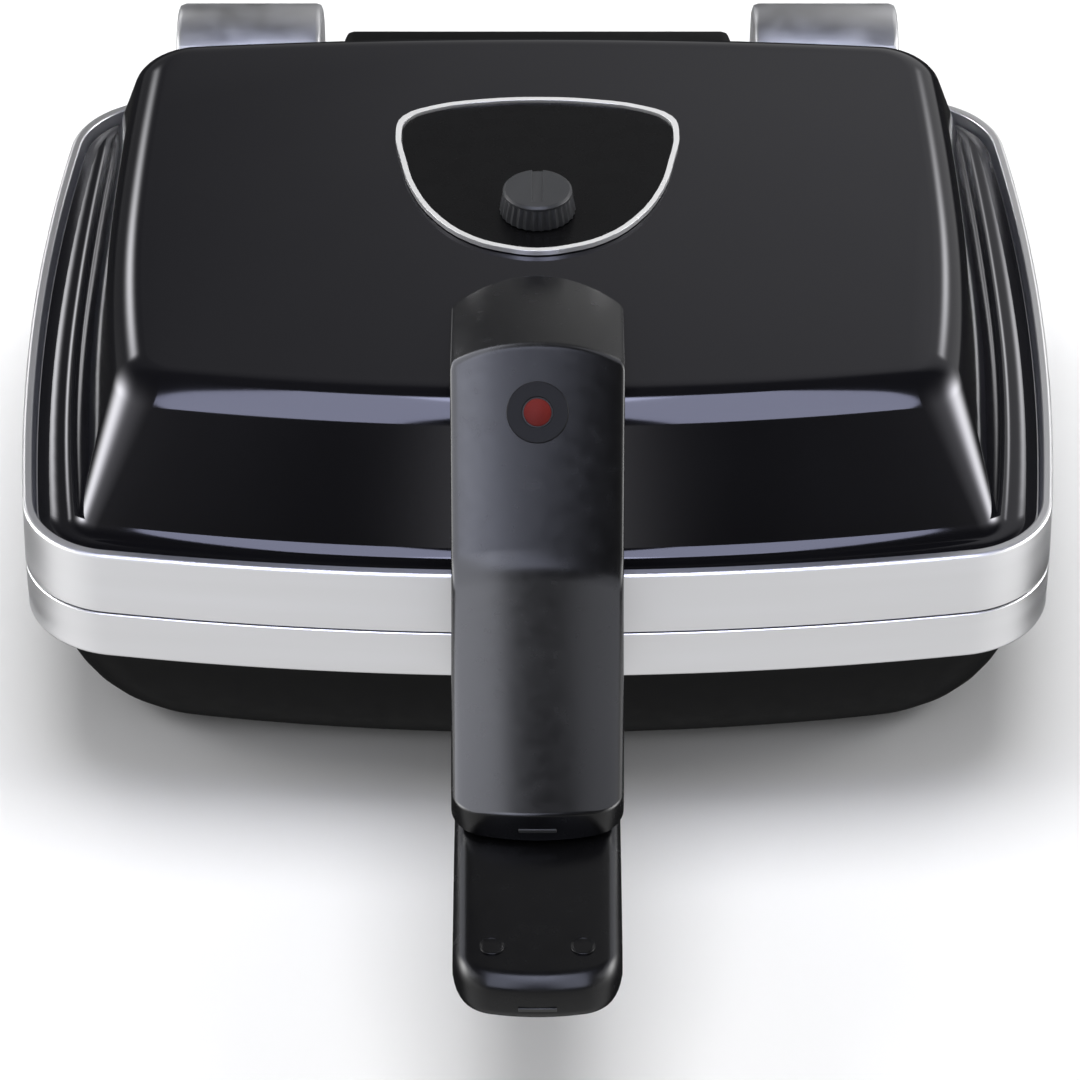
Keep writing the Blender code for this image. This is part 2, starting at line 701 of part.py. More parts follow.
def hinge_outline():
    """Side of the lid's hinge arm: a full round on the axis, reaching forward to the frame."""
    wall = FRAME_DEPTH / 2 - HINGE_SHOULDER
    points = arc_points((HINGE_Y, HINGE_Z), HINGE_RADIUS, ARM_FRONT_ANGLE, ARM_BACK_ANGLE, ROUND_STEPS // 2)
    foot = [(HINGE_Y - HINGE_SLOT_RADIUS / 2, FRAME_GAP), (wall, FRAME_GAP)]
    shoulder = [(wall, UPPER_FRAME_HEIGHT - FLANGE_SINK),
                (FRAME_DEPTH / 2 - BACK_BOW / 2, UPPER_FRAME_HEIGHT + FRAME_EDGE)]
    return points + foot + shoulder


def slot_outline():
    """Hollow of the hinge arm, open below so that it can swing past the bracket."""
    around = arc_points((HINGE_Y, HINGE_Z), HINGE_SLOT_RADIUS, SLOT_BACK_ANGLE, SLOT_FRONT_ANGLE,
                        SMALL_STEPS // 2)
    below = arc_points((HINGE_Y, HINGE_Z), HINGE_SLOT_REACH, SLOT_FRONT_ANGLE,
                       SLOT_BACK_ANGLE + 2 * math.pi, SMALL_STEPS // 2)
    return around + below


def bracket_outline():
    """Side of the base's bracket: a lug round the pin on a neck from the lower frame."""
    lug = arc_points((HINGE_Y, HINGE_Z), LUG_RADIUS, LUG_BACK_ANGLE, LUG_FRONT_ANGLE, SMALL_STEPS * 3 // 4)
    wall = FRAME_DEPTH / 2 - HINGE_SHOULDER
    front = HINGE_Y - LUG_RADIUS + LUG_NECK / 4
    top = -HINGE_BRACKET_GAP
    bottom = -LOWER_FRAME_HEIGHT + FRAME_EDGE
    neck = [(front, top), (wall, top), (wall, bottom), (HINGE_Y - LUG_NECK, bottom),
            (HINGE_Y + LUG_NECK, -LUG_NECK)]
    return lug + neck


def make_hinge(side, hand, frames):
    """Hooded arm on the lid, lug on the base, and the pin that joins them."""
    middle = hand * HINGE_SPACING / 2
    pin_hole = add_object("pin_hole_" + side, rod(PIN_RADIUS + RUNNING_GAP, HINGE_WIDTH + OVERRUN,
                                                  (middle, HINGE_Y, HINGE_Z), "X", SMALL_STEPS), base)
    slot_mesh = slab(slot_outline(), HINGE_WIDTH / 2 - HINGE_CHEEK)
    arm_mesh = slab(hinge_outline(), HINGE_WIDTH / 2)
    lug_mesh = slab(bracket_outline(), LUG_WIDTH / 2)
    for mesh in (slot_mesh, arm_mesh, lug_mesh):
        bmesh.ops.translate(mesh, vec=(middle, 0, 0), verts=mesh.verts)
    slot = add_object("hinge_slot_" + side, slot_mesh, base)
    arm = add_object("hinge_arm_" + side, arm_mesh, lid, cast_aluminium)
    bevel(arm, HINGE_EDGE)
    cut(arm, slot)
    cut(arm, frames)
    cut(arm, pin_hole)
    bracket = add_object("hinge_bracket_" + side, lug_mesh, base, cast_aluminium)
    cut(bracket, frames)
    cut(bracket, pin_hole)
    half = HINGE_WIDTH / 2 + FIT_GAP
    profile = [(0, half + PIN_HEAD), (PIN_HEAD_RADIUS - PIN_HEAD / 2, half + PIN_HEAD),
               (PIN_HEAD_RADIUS, half + PIN_HEAD / 2), (PIN_HEAD_RADIUS, half), (PIN_RADIUS, half),
               (PIN_RADIUS, -half), (PIN_HEAD_RADIUS, -half), (PIN_HEAD_RADIUS, -half - PIN_HEAD / 2),
               (PIN_HEAD_RADIUS - PIN_HEAD / 2, -half - PIN_HEAD), (0, -half - PIN_HEAD)]
    pin = turned("hinge_pin_" + side, profile, base, zinc_steel, (middle, HINGE_Y, HINGE_Z))
    pin.rotation_euler = (0, math.pi / 2, 0)


def across(share):
    """Half-round share: 0 in the middle of a grip, 1 at its long edges."""
    return 1 - math.sqrt(max(0, 1 - share ** 2))


def grip_stations():
    return [math.sin(math.pi / 2 * step / GRIP_STATIONS) for step in range(-GRIP_STATIONS, GRIP_STATIONS + 1)]


def upper_handle_section(share):
    """Side profile of the upper handle at a share of its half width."""
    away = abs(share)
    toe = PLATEAU_FRONT_Y + HANDLE_TOE - HANDLE_TOE_BOW * away ** 2
    ridge_y = PLATEAU_FRONT_Y + HANDLE_RIDGE_SETBACK - HANDLE_RIDGE_BOW * away ** 2
    end = FRAME_FRONT_Y - GRIP_LENGTH + GRIP_END_BOW * away ** 4
    low = HANDLE_SPLIT_GAP
    crown = GRIP_CROWN * away ** 2 + HANDLE_EDGE * across(away) ** 2
    ridge_z = PLATEAU_Z + HANDLE_RIDGE_RISE - crown / 2
    bend_y = FRAME_FRONT_Y - HANDLE_CLEAR_FRONT
    bend_z = UPPER_FRAME_HEIGHT + HANDLE_BEND_RISE - crown
    top_end = GRIP_END_HEIGHT - crown / 2
    slope = Vector((bend_y - ridge_y, bend_z - ridge_z))
    grip = Vector((end - bend_y, top_end - bend_z))
    points = [(toe, PLATEAU_Z), (toe - HANDLE_TOE_LIFT / 2, PLATEAU_Z + HANDLE_TOE_LIFT)]
    for along in HANDLE_TOP_SHARES:
        points.append((blend(toe, ridge_y, along), blend(PLATEAU_Z + HANDLE_TOE_LIFT, ridge_z, along)))
    for along in HANDLE_SLOPE_SHARES:
        points.append((ridge_y + slope.x * along, ridge_z + slope.y * along))
    for along in HANDLE_GRIP_SHARES:
        points.append((bend_y + grip.x * along, bend_z + grip.y * along))
    points += [(end, top_end - HANDLE_EDGE), (end, low)]
    points += [(PLATEAU_FRONT_Y, low), (PLATEAU_FRONT_Y + HANDLE_TOE / 2, PLATEAU_Z - LID_FILLET)]
    return points


def lower_handle_section(share):
    """Side profile of the lower handle at a share of its half width."""
    away = abs(share)
    end = HANDLE_TIP_Y + LOWER_END_BOW * away ** 2
    crown = HANDLE_EDGE * across(away)
    top = -HANDLE_SPLIT_GAP - crown
    tip_top = top - LOWER_GRIP_DROP
    tip_low = tip_top - LOWER_GRIP_THICKNESS + 2 * crown
    root_low = -LOWER_ROOT_THICKNESS + crown
    root = PLATEAU_FRONT_Y
    points = [(root, top), (FRAME_FRONT_Y, top), (FRAME_FRONT_Y - GRIP_LENGTH, top)]
    points += [(end + 2 * HANDLE_EDGE, tip_top), (end + HANDLE_EDGE / 2, tip_top - HANDLE_EDGE / 2),
               (end, blend(tip_top, tip_low, LOWER_END_SHARE)), (end + HANDLE_EDGE / 2, tip_low),
               (end + 2 * HANDLE_EDGE, tip_low)]
    points += [(FRAME_FRONT_Y - GRIP_LENGTH, tip_low), (FRAME_FRONT_Y, root_low), (root, root_low)]
    return points


def grip_loft(section, widths):
    """Skin of side profiles set side by side; widths gives half widths along the profile."""
    rings = []
    for share in grip_stations():
        rings.append([Vector((share * widths(y), y, z)) for y, z in section(share)])
    return loft(rings)


def upper_width(y):
    along = min(1, max(0, (PLATEAU_FRONT_Y - y) / (GRIP_LENGTH + CREASE_INSET + SLOPE_RUN)))
    return blend(HANDLE_WIDTH, GRIP_WIDTH, along) / 2


def lower_width(y):
    return LOWER_GRIP_WIDTH / 2


def make_handles(frames, lid_body, shell_body):
    upper = add_object("upper_handle", grip_loft(upper_handle_section, upper_width), lid, moulded_black)
    cut(upper, lid_body)
    cut(upper, frames)
    lower = add_object("lower_handle", grip_loft(lower_handle_section, lower_width), base, moulded_black)
    cut(lower, frames)
    cut(lower, shell_body)
    return upper, lower


def make_lamp(handle):
    """Neon holder let into the slope of the handle, with its red lens."""
    ridge = Vector((0, PLATEAU_FRONT_Y + HANDLE_RIDGE_SETBACK, PLATEAU_Z + HANDLE_RIDGE_RISE))
    bend = Vector((0, FRAME_FRONT_Y - HANDLE_CLEAR_FRONT, UPPER_FRAME_HEIGHT + HANDLE_BEND_RISE))
    slope = bend - ridge
    spot = ridge + slope * LAMP_PLACE_SHARE
    tilt = math.atan2(-slope.z, -slope.y)
    turn = (tilt, 0, 0)
    pocket = add_object("lamp_pocket", rod(LAMP_RADIUS + FIT_GAP, 2 * LAMP_THICKNESS, (0, 0, 0)), base)
    pocket.location = spot
    pocket.rotation_euler = turn
    cut(handle, pocket)
    floor = -LAMP_THICKNESS + FIT_GAP
    bezel = rod(LAMP_RADIUS, LAMP_PROUD - floor, (0, 0, (LAMP_PROUD + floor) / 2))
    holder = add_object("lamp_bezel", bezel, lid, knob_grey)
    seat = add_object("lens_seat", rod(LENS_RADIUS + FIT_GAP, 2 * LAMP_THICKNESS,
                                       (0, 0, LAMP_THICKNESS / 3)), base)
    seat.location = spot
    seat.rotation_euler = turn
    cut(holder, seat)
    low = -LAMP_THICKNESS * 2 / 3 + FIT_GAP
    lens = turned("lamp_lens", [(0, LENS_DOME), (LENS_RADIUS * 2 / 3, LENS_DOME / 2), (LENS_RADIUS, 0),
                                (LENS_RADIUS, low), (0, low)], lid, lamp_red, spot, steps=ROUND_STEPS)
    lens.rotation_euler = turn
    holder.location = holder.location + spot
    holder.rotation_euler = turn


def make_plugs(handle):
    """Two round plugs that close the screw holes in the lower handle."""
    for side, hand in (("left", -1), ("right", 1)):
        place_y = HANDLE_TIP_Y + PLUG_FROM_TIP
        top = -HANDLE_SPLIT_GAP - LOWER_GRIP_DROP
        spot = (hand * PLUG_SPACING / 2, place_y, top)
        hole = add_object("plug_hole_" + side, rod(PLUG_RADIUS + FIT_GAP, 2 * PLUG_DEPTH, spot), base)
        cut(handle, hole)
        height = PLUG_DEPTH - FIT_GAP
        centre = (spot[0], spot[1], top - PLUG_DEPTH + FIT_GAP + height / 2)
        add_object("handle_plug_" + side, rod(PLUG_RADIUS, height, centre), base, rubber_black)


def badge_curve(name, inset, material, thickness, hollow=None):
    """Flat shield, or the rim between two shields."""
    curve = bpy.data.curves.new(name, "CURVE")
    curve.dimensions = "2D"
    curve.fill_mode = "BOTH"
    curve.extrude = thickness / 2
    curve.resolution_u = 3
    for margin in [inset] if hollow is None else [inset, hollow]:
        right = [(across_share * (BADGE_HALF_WIDTH - margin),
                  blend(margin, BADGE_HEIGHT - margin, up_share))
                 for across_share, up_share in BADGE_SHARES]
        spots = right + [(-x, y) for x, y in right[::-1] if x > 0]
        spline = curve.splines.new("BEZIER")
        spline.bezier_points.add(len(spots) - 1)
        for point, (x, y) in zip(spline.bezier_points, spots):
            point.co = (x, y, 0)
            point.handle_left_type = "AUTO"
            point.handle_right_type = "AUTO"
        spline.use_cyclic_u = True
    obj = bpy.data.objects.new(name, curve)
    place(obj, lid)
    obj.location = obj.location + Vector((0, BADGE_Y, PLATEAU_Z + FIT_GAP + thickness / 2))
    pieces.objects.link(obj)
    curve.materials.append(material)
    return obj


def make_badge(shaft_hole):
    badge_curve("badge_rim", 0, bright_trim, BADGE_RIM_HEIGHT, BADGE_RIM_WIDTH)
    plate = badge_curve("badge_plate", BADGE_RIM_WIDTH + FIT_GAP, badge_black, BADGE_THICKNESS)
    solid = as_mesh(plate)
    cut(solid, shaft_hole)


def as_mesh(obj):
    """Replace a curve by its closed mesh, so that it can be cut."""
    bpy.context.view_layer.update()
    evaluated = obj.evaluated_get(bpy.context.evaluated_depsgraph_get())
    data = bpy.data.meshes.new_from_object(evaluated)
    welded = bmesh.new()
    welded.from_mesh(data)
    bmesh.ops.remove_doubles(welded, verts=welded.verts, dist=0.00001)
    welded.to_mesh(data)
    welded.free()
    name = obj.name
    solid = bpy.data.objects.new(name, data)
    solid.parent = obj.parent
    solid.location = obj.location
    pieces.objects.link(solid)
    bpy.data.objects.remove(obj)
    solid.name = name
    return solid


def make_thermostat():
    """Thermostat under the plateau; its shaft and fluted knob turn together."""
    ceiling = -LID_SHEET - FIT_GAP
    body = rod(THERMOSTAT_RADIUS, THERMOSTAT_HEIGHT,
               (0, KNOB_Y, PLATEAU_Z + ceiling - THERMOSTAT_HEIGHT / 2), steps=SMALL_STEPS)
    holder = add_object("thermostat_body", body, lid, zinc_steel)
    socket = rod(SHAFT_RADIUS + RUNNING_GAP, THERMOSTAT_HEIGHT, (0, KNOB_Y, PLATEAU_Z + ceiling),
                 steps=SMALL_STEPS)
    cut(holder, add_object("shaft_socket", socket, base))
    shaft_low = PLATEAU_Z + ceiling - THERMOSTAT_HEIGHT / 2 + FIT_GAP
    knob_base = PLATEAU_Z + BADGE_THICKNESS + 2 * FIT_GAP
    shaft_top = knob_base + KNOB_BORE_DEPTH - FIT_GAP
    shaft = rod(SHAFT_RADIUS, shaft_top - shaft_low, (0, KNOB_Y, (shaft_top + shaft_low) / 2),
                steps=SMALL_STEPS)
    add_object("thermostat_shaft", shaft, knob, zinc_steel)
    count = 2 * KNOB_FLUTES
    knob_top = knob_base + KNOB_HEIGHT
    head = KNOB_RADIUS - KNOB_TAPER
    rings = []
    for radius, flute, z in ((KNOB_RADIUS, KNOB_FLUTE, knob_base), (head, KNOB_FLUTE, knob_top - KNOB_BAND),
                             (head, 0, knob_top - KNOB_BAND), (head, 0, knob_top - KNOB_BAND / 2),
                             (head - KNOB_BAND / 2, 0, knob_top)):
        points = []
        for index in range(count):
            reach = radius - flute * (index % 2)
            turn = 2 * math.pi * index / count
            points.append(Vector((reach * math.cos(turn), reach * math.sin(turn) + KNOB_Y, z)))
        rings.append(points)
    dial = add_object("thermostat_knob", loft(rings), knob, knob_grey)
    pointer = block((POINTER_WIDTH, POINTER_LENGTH, 2 * POINTER_DEPTH),
                    (0, KNOB_Y + KNOB_RADIUS - POINTER_LENGTH / 2, knob_top))
    cut(dial, add_object("pointer_groove", pointer, knob))
    bore = rod(SHAFT_RADIUS + FIT_GAP, 2 * KNOB_BORE_DEPTH, (0, KNOB_Y, knob_base), steps=SMALL_STEPS)
    cut(dial, add_object("knob_bore", bore, knob))


def make_rear_cover(frames, shell_body):
    """Moulded cover between the hinges, open towards the frame, with the mains terminal."""
    wall = FRAME_DEPTH / 2 - HINGE_SHOULDER
    front = FRAME_DEPTH / 2 + COVER_SWING_GAP
    back = FRAME_DEPTH / 2 + COVER_DEPTH
    inner_back = back - COVER_WALL
    profile = [(wall, -COVER_DROP), (back, -COVER_DROP), (back, COVER_RISE), (front, COVER_RISE),
               (front, -HINGE_BRACKET_GAP), (wall, -HINGE_BRACKET_GAP)]
    width = HINGE_SPACING - HINGE_WIDTH - 2 * COVER_SIDE_GAP
    cover = add_object("rear_cover", slab(profile, width / 2), base, moulded_black)
    bevel(cover, COVER_EDGE)
    inner_width = width - 2 * COVER_WALL
    low = -COVER_DROP + COVER_WALL
    shelf = -HINGE_BRACKET_GAP - COVER_WALL
    mouth = block((inner_width, inner_back - wall + OVERRUN, shelf - low),
                  (0, (inner_back + wall - OVERRUN) / 2, (shelf + low) / 2))
    upper_low = shelf - OVERRUN
    upper_top = COVER_RISE - COVER_WALL
    upper_front = front + COVER_WALL
    chamber = block((inner_width, inner_back - upper_front, upper_top - upper_low),
                    (0, (inner_back + upper_front) / 2, (upper_top + upper_low) / 2))
    cut(cover, add_object("cover_mouth", mouth, base))
    cut(cover, add_object("cover_chamber", chamber, base))
    cut(cover, frames)
    cut(cover, shell_body)

    neck = GROMMET_TIP_RADIUS
    inlet = rod(neck + FIT_GAP, 2 * OVERRUN, (0, 0, 0), steps=SMALL_STEPS)
    bmesh.ops.rotate(inlet, cent=(0, 0, 0), matrix=Matrix.Rotation(math.pi / 2, 3, "X"), verts=inlet.verts)
    bmesh.ops.translate(inlet, vec=(0, back, -GROMMET_DROP), verts=inlet.verts)
    cut(cover, add_object("inlet_hole", inlet, base))
    profile = [(GROMMET_BORE, GROMMET_LENGTH), (neck, GROMMET_LENGTH), (GROMMET_RADIUS, FIT_GAP),
               (neck, FIT_GAP), (neck, -COVER_WALL), (GROMMET_BORE, -COVER_WALL)]
    grommet = turned("cable_grommet", profile, base, rubber_black, (0, back, -GROMMET_DROP), hollow=True)
    grommet.rotation_euler = (-math.pi / 2, 0, 0)

    terminal_y = inner_back - COVER_WALL - TERMINAL_DEPTH / 2
    terminal_z = low + FIT_GAP + TERMINAL_HEIGHT / 2
    place_x = GROMMET_RADIUS + COVER_WALL + TERMINAL_WIDTH / 2
    terminal = add_object("terminal_block", block((TERMINAL_WIDTH, TERMINAL_DEPTH, TERMINAL_HEIGHT),
                                                  (place_x, terminal_y, terminal_z)), base, knob_grey)
    bevel(terminal, FRAME_EDGE, segments=1)


def make_feet_and_screws():
    """Rubber feet and screw heads under the floor of the lower shell."""
    top = UNDERSIDE_Z - FIT_GAP
    toe = UNDERSIDE_Z - FOOT_STAND
    corners = (("front_left", -1, -1), ("front_right", 1, -1), ("rear_left", -1, 1), ("rear_right", 1, 1))
    for name, across_hand, depth_hand in corners:
        profile = [(0, top), (FOOT_RADIUS, top), (FOOT_RADIUS, (top + toe) / 2), (FOOT_TOE_RADIUS, toe),
                   (0, toe)]
        turned("foot_" + name, profile, base, rubber_black,
               (across_hand * (SHELL_FLOOR_HALF_X - FOOT_INSET_X),
                depth_hand * (SHELL_FLOOR_HALF_Y - FOOT_INSET_Y), 0))
        profile = [(0, top), (SCREW_HEAD_RADIUS, top), (SCREW_HEAD_RADIUS, top - SCREW_HEAD_HEIGHT / 2),
                   (SCREW_HEAD_RADIUS / 2, top - SCREW_HEAD_HEIGHT), (0, top - SCREW_HEAD_HEIGHT)]
        turned("base_screw_" + name, profile, base, zinc_steel,
               (across_hand * (SHELL_FLOOR_HALF_X - SCREW_INSET_X),
                depth_hand * (SHELL_FLOOR_HALF_Y - SCREW_INSET_Y), 0))


# Build the object
frame_body, lid_body, shell_body = make_envelopes()
shaft_hole = add_object("shaft_hole", rod(SHAFT_RADIUS + 2 * FIT_GAP, 2 * OVERRUN,
                                          (0, KNOB_Y, PLATEAU_Z)), base)
make_frames()
make_lid_shell(shaft_hole)
make_lower_shell()
for prefix, rider, facing in (("upper", lid, 1), ("lower", base, -1)):
    make_plate(prefix + "_plate", rider, facing)
    make_heater(prefix + "_heater", rider, facing)
    make_reflector(prefix + "_reflector", rider, facing)
for side, hand in (("left", -1), ("right", 1)):
    make_hinge(side, hand, frame_body)
upper_handle, lower_handle = make_handles(frame_body, lid_body, shell_body)
make_lamp(upper_handle)
make_plugs(lower_handle)
make_badge(shaft_hole)
make_thermostat()
make_rear_cover(frame_body, shell_body)
make_feet_and_screws()
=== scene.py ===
import math
import bmesh
import bpy
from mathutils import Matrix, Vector


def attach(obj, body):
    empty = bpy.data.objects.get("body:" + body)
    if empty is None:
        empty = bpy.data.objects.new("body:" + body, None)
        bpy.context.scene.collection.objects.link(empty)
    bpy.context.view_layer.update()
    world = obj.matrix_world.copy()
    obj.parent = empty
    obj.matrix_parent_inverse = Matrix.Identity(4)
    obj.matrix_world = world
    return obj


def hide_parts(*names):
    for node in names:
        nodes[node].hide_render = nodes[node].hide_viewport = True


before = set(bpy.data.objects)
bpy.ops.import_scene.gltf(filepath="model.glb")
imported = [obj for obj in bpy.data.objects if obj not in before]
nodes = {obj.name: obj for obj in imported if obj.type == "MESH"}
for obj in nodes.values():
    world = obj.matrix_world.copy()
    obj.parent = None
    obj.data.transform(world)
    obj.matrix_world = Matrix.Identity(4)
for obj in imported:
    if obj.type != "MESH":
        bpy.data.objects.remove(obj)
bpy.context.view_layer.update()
print("frame loaded:", len(nodes), "nodes")

datum = Vector((0, 0.05115, 0.056))  # middle of the frames at their split
halfDepth = 0.1258
framePlan = {  # each half of a plan has its reach from the middle, end bow, side bow and corner radius
    "width": 0.310,
    "front": (halfDepth, 0.0146, 0.0090, 0.0296),
    "back": (halfDepth, 0.0080, 0.0090, 0.0296),
}
floorPlan = {
    "width": 0.254,
    "front": (0.107, 0.0130, 0.0060, 0.0380),
    "back": (0.107, 0.0130, 0.0060, 0.0380),
}


def newMaterial(name, color, metallic=0.0, roughness=0.5, **sockets):
    material = bpy.data.materials.new(name)
    material.use_nodes = True
    shader = material.node_tree.nodes["Principled BSDF"]
    shader.inputs["Base Color"].default_value = (*color, 1)
    shader.inputs["Metallic"].default_value = metallic
    shader.inputs["Roughness"].default_value = roughness
    for socket, value in sockets.items():
        shader.inputs[socket.replace("_", " ")].default_value = value
    return material, material.node_tree, shader


def patternAt(tree, scale, detail=3.0, stretch=(1, 1, 1), kind="ShaderNodeTexNoise"):
    where = tree.nodes.new("ShaderNodeTexCoord")
    mapping = tree.nodes.new("ShaderNodeMapping")
    mapping.inputs["Scale"].default_value = stretch
    pattern = tree.nodes.new(kind)
    pattern.inputs["Scale"].default_value = scale
    if "Detail" in pattern.inputs:
        pattern.inputs["Detail"].default_value = detail
    tree.links.new(where.outputs["Object"], mapping.inputs["Vector"])
    tree.links.new(mapping.outputs["Vector"], pattern.inputs["Vector"])
    return pattern.outputs["Fac"] if "Fac" in pattern.outputs else pattern.outputs["Distance"]


def spread(tree, source, low, high):  # a pattern's 0..1 spread over a range
    ranged = tree.nodes.new("ShaderNodeMapRange")
    ranged.inputs["From Min"].default_value = 0.3
    ranged.inputs["From Max"].default_value = 0.7
    ranged.inputs["To Min"].default_value = low
    ranged.inputs["To Max"].default_value = high
    tree.links.new(source, ranged.inputs["Value"])
    return ranged.outputs["Result"]


def tint(tree, source, first, second):  # a pattern's 0..1 turned into a colour between two
    mix = tree.nodes.new("ShaderNodeMix")
    mix.data_type = "RGBA"
    mix.inputs["A"].default_value = (*first, 1)
    mix.inputs["B"].default_value = (*second, 1)
    tree.links.new(source, mix.inputs["Factor"])
    return mix.outputs["Result"]


def roughen(tree, shader, source, strength, distance):
    bump = tree.nodes.new("ShaderNodeBump")
    bump.inputs["Strength"].default_value = strength
    bump.inputs["Distance"].default_value = distance
    tree.links.new(source, bump.inputs["Height"])
    tree.links.new(bump.outputs["Normal"], shader.inputs["Normal"])


cloudShare = 12  # a cloud is this many times coarser than the grain


def speckled(name, first, second, roughness, grain, depth, metallic=0.0, stretch=(1, 1, 1),
             strength=0.3, **sockets):
    material, tree, shader = newMaterial(name, first, metallic, roughness[0], **sockets)
    cloud = patternAt(tree, grain / cloudShare, 4, stretch)
    fine = patternAt(tree, grain, 2, stretch)
    tree.links.new(tint(tree, cloud, first, second), shader.inputs["Base Color"])
    tree.links.new(spread(tree, cloud, *roughness), shader.inputs["Roughness"])
    roughen(tree, shader, fine, strength, depth)
    return material


finish = {  # two colours, the roughness between them, grain and depth of the speckle
    "enamel": speckled("blackEnamel", (0.0040, 0.0040, 0.0056), (0.0060, 0.0060, 0.0076),
                       (0.05, 0.085), 260, 0.00002, strength=0.06,
                       Specular_Tint=(0.92, 0.91, 1.0, 1)),
    "aluminium": speckled("satinAluminium", (0.66, 0.66, 0.67), (0.74, 0.74, 0.75), (0.30, 0.42),
                          900, 0.00003, metallic=1.0, stretch=(0.06, 0.06, 1.0), strength=0.25),
    "hinge": speckled("castAluminium", (0.46, 0.46, 0.47), (0.54, 0.54, 0.55), (0.36, 0.48),
                      1500, 0.00004, metallic=1.0, strength=0.3),
    "coating": speckled("nonStickCoating", (0.022, 0.022, 0.023), (0.034, 0.034, 0.035),
                        (0.36, 0.48), 2200, 0.00005, strength=0.4),
    "moulded": speckled("mouldedBlack", (0.0030, 0.0030, 0.0036), (0.0045, 0.0045, 0.0052),
                        (0.23, 0.28), 2600, 0.00003, strength=0.08, Specular_IOR_Level=0.24),
    "bowl": speckled("bowlBlack", (0.0026, 0.0026, 0.0028), (0.0040, 0.0040, 0.0042),
                     (0.42, 0.52), 2400, 0.00005, strength=0.35, Specular_IOR_Level=0.06),
    "knob": speckled("knobGrey", (0.030, 0.031, 0.034), (0.040, 0.041, 0.044), (0.34, 0.42),
                     2400, 0.00003, strength=0.2, Specular_IOR_Level=0.25),
    "trim": speckled("brightTrim", (0.78, 0.78, 0.79), (0.86, 0.86, 0.87), (0.20, 0.28),
                     900, 0.00002, metallic=0.45, strength=0.1),
    "badge": speckled("badgeBlack", (0.0035, 0.0035, 0.0040), (0.0050, 0.0050, 0.0055),
                      (0.24, 0.32), 1800, 0.00002, strength=0.12, Specular_IOR_Level=0.10),
    "lens": speckled("lampRed", (0.21, 0.018, 0.013), (0.12, 0.012, 0.010), (0.46, 0.56),
                     900, 0.00008, stretch=(0.3, 1.0, 1.0), strength=0.6, Specular_IOR_Level=0.12),
    "bezel": speckled("lampHolder", (0.007, 0.007, 0.008), (0.011, 0.011, 0.012), (0.34, 0.44),
                      2400, 0.00003, strength=0.2, Specular_IOR_Level=0.14),
    "bar": speckled("barGrey", (0.016, 0.016, 0.015), (0.022, 0.022, 0.021), (0.40, 0.48),
                    2400, 0.00003, strength=0.2),
    "rubber": speckled("rubberBlack", (0.012, 0.012, 0.012), (0.018, 0.018, 0.018), (0.6, 0.75),
                       1800, 0.00005, strength=0.4),
    "steel": speckled("zincSteel", (0.50, 0.50, 0.51), (0.60, 0.60, 0.61), (0.26, 0.38),
                      1500, 0.00003, metallic=1.0, strength=0.2),
    "sheath": speckled("heaterSheath", (0.10, 0.095, 0.09), (0.16, 0.15, 0.14), (0.42, 0.58),
                       1200, 0.00004, metallic=0.8, strength=0.3),
    "sheet": speckled("reflectorSheet", (0.62, 0.62, 0.63), (0.70, 0.70, 0.71), (0.22, 0.34),
                      700, 0.00003, metallic=1.0, strength=0.2),
}
print("materials made:", len(finish))


bevelled = {"segments": 3, "from": math.radians(32)}


def finishPiece(name, mesh, body, look, stands=(), rounding=None, wall=0.0, sharp=35):
    data = bpy.data.meshes.new(name)
    mesh.to_mesh(data)
    mesh.free()
    data.materials.append(finish[look])
    piece = bpy.data.objects.new(name, data)
    bpy.context.scene.collection.objects.link(piece)
    data.shade_smooth()
    data.set_sharp_from_angle(angle=math.radians(sharp))
    if wall:
        solid = piece.modifiers.new("wall", "SOLIDIFY")
        solid.thickness = wall
        solid.offset = -1
        solid.use_even_offset = True
    if rounding:
        edge = piece.modifiers.new("edges", "BEVEL")
        edge.width = rounding
        edge.segments = bevelled["segments"]
        edge.limit_method = "ANGLE"
        edge.angle_limit = bevelled["from"]
        edge.harden_normals = False
    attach(piece, body)
    if stands:
        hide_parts(*stands)
    return piece


def toDatum(mesh):
    bmesh.ops.translate(mesh, vec=datum, verts=mesh.verts)
    return mesh


def insetPlan(plan, inset):
    halves = {side: (plan[side][0] - inset, plan[side][1], plan[side][2], plan[side][3] - inset)
              for side in ("front", "back")}
    return {"width": plan["width"] - 2 * inset, **halves}


def blendPlans(first, second, share):
    halves = {side: tuple(start + (end - start) * share for start, end in zip(first[side], second[side]))
              for side in ("front", "back")}
    return {"width": first["width"] + (second["width"] - first["width"]) * share, **halves}


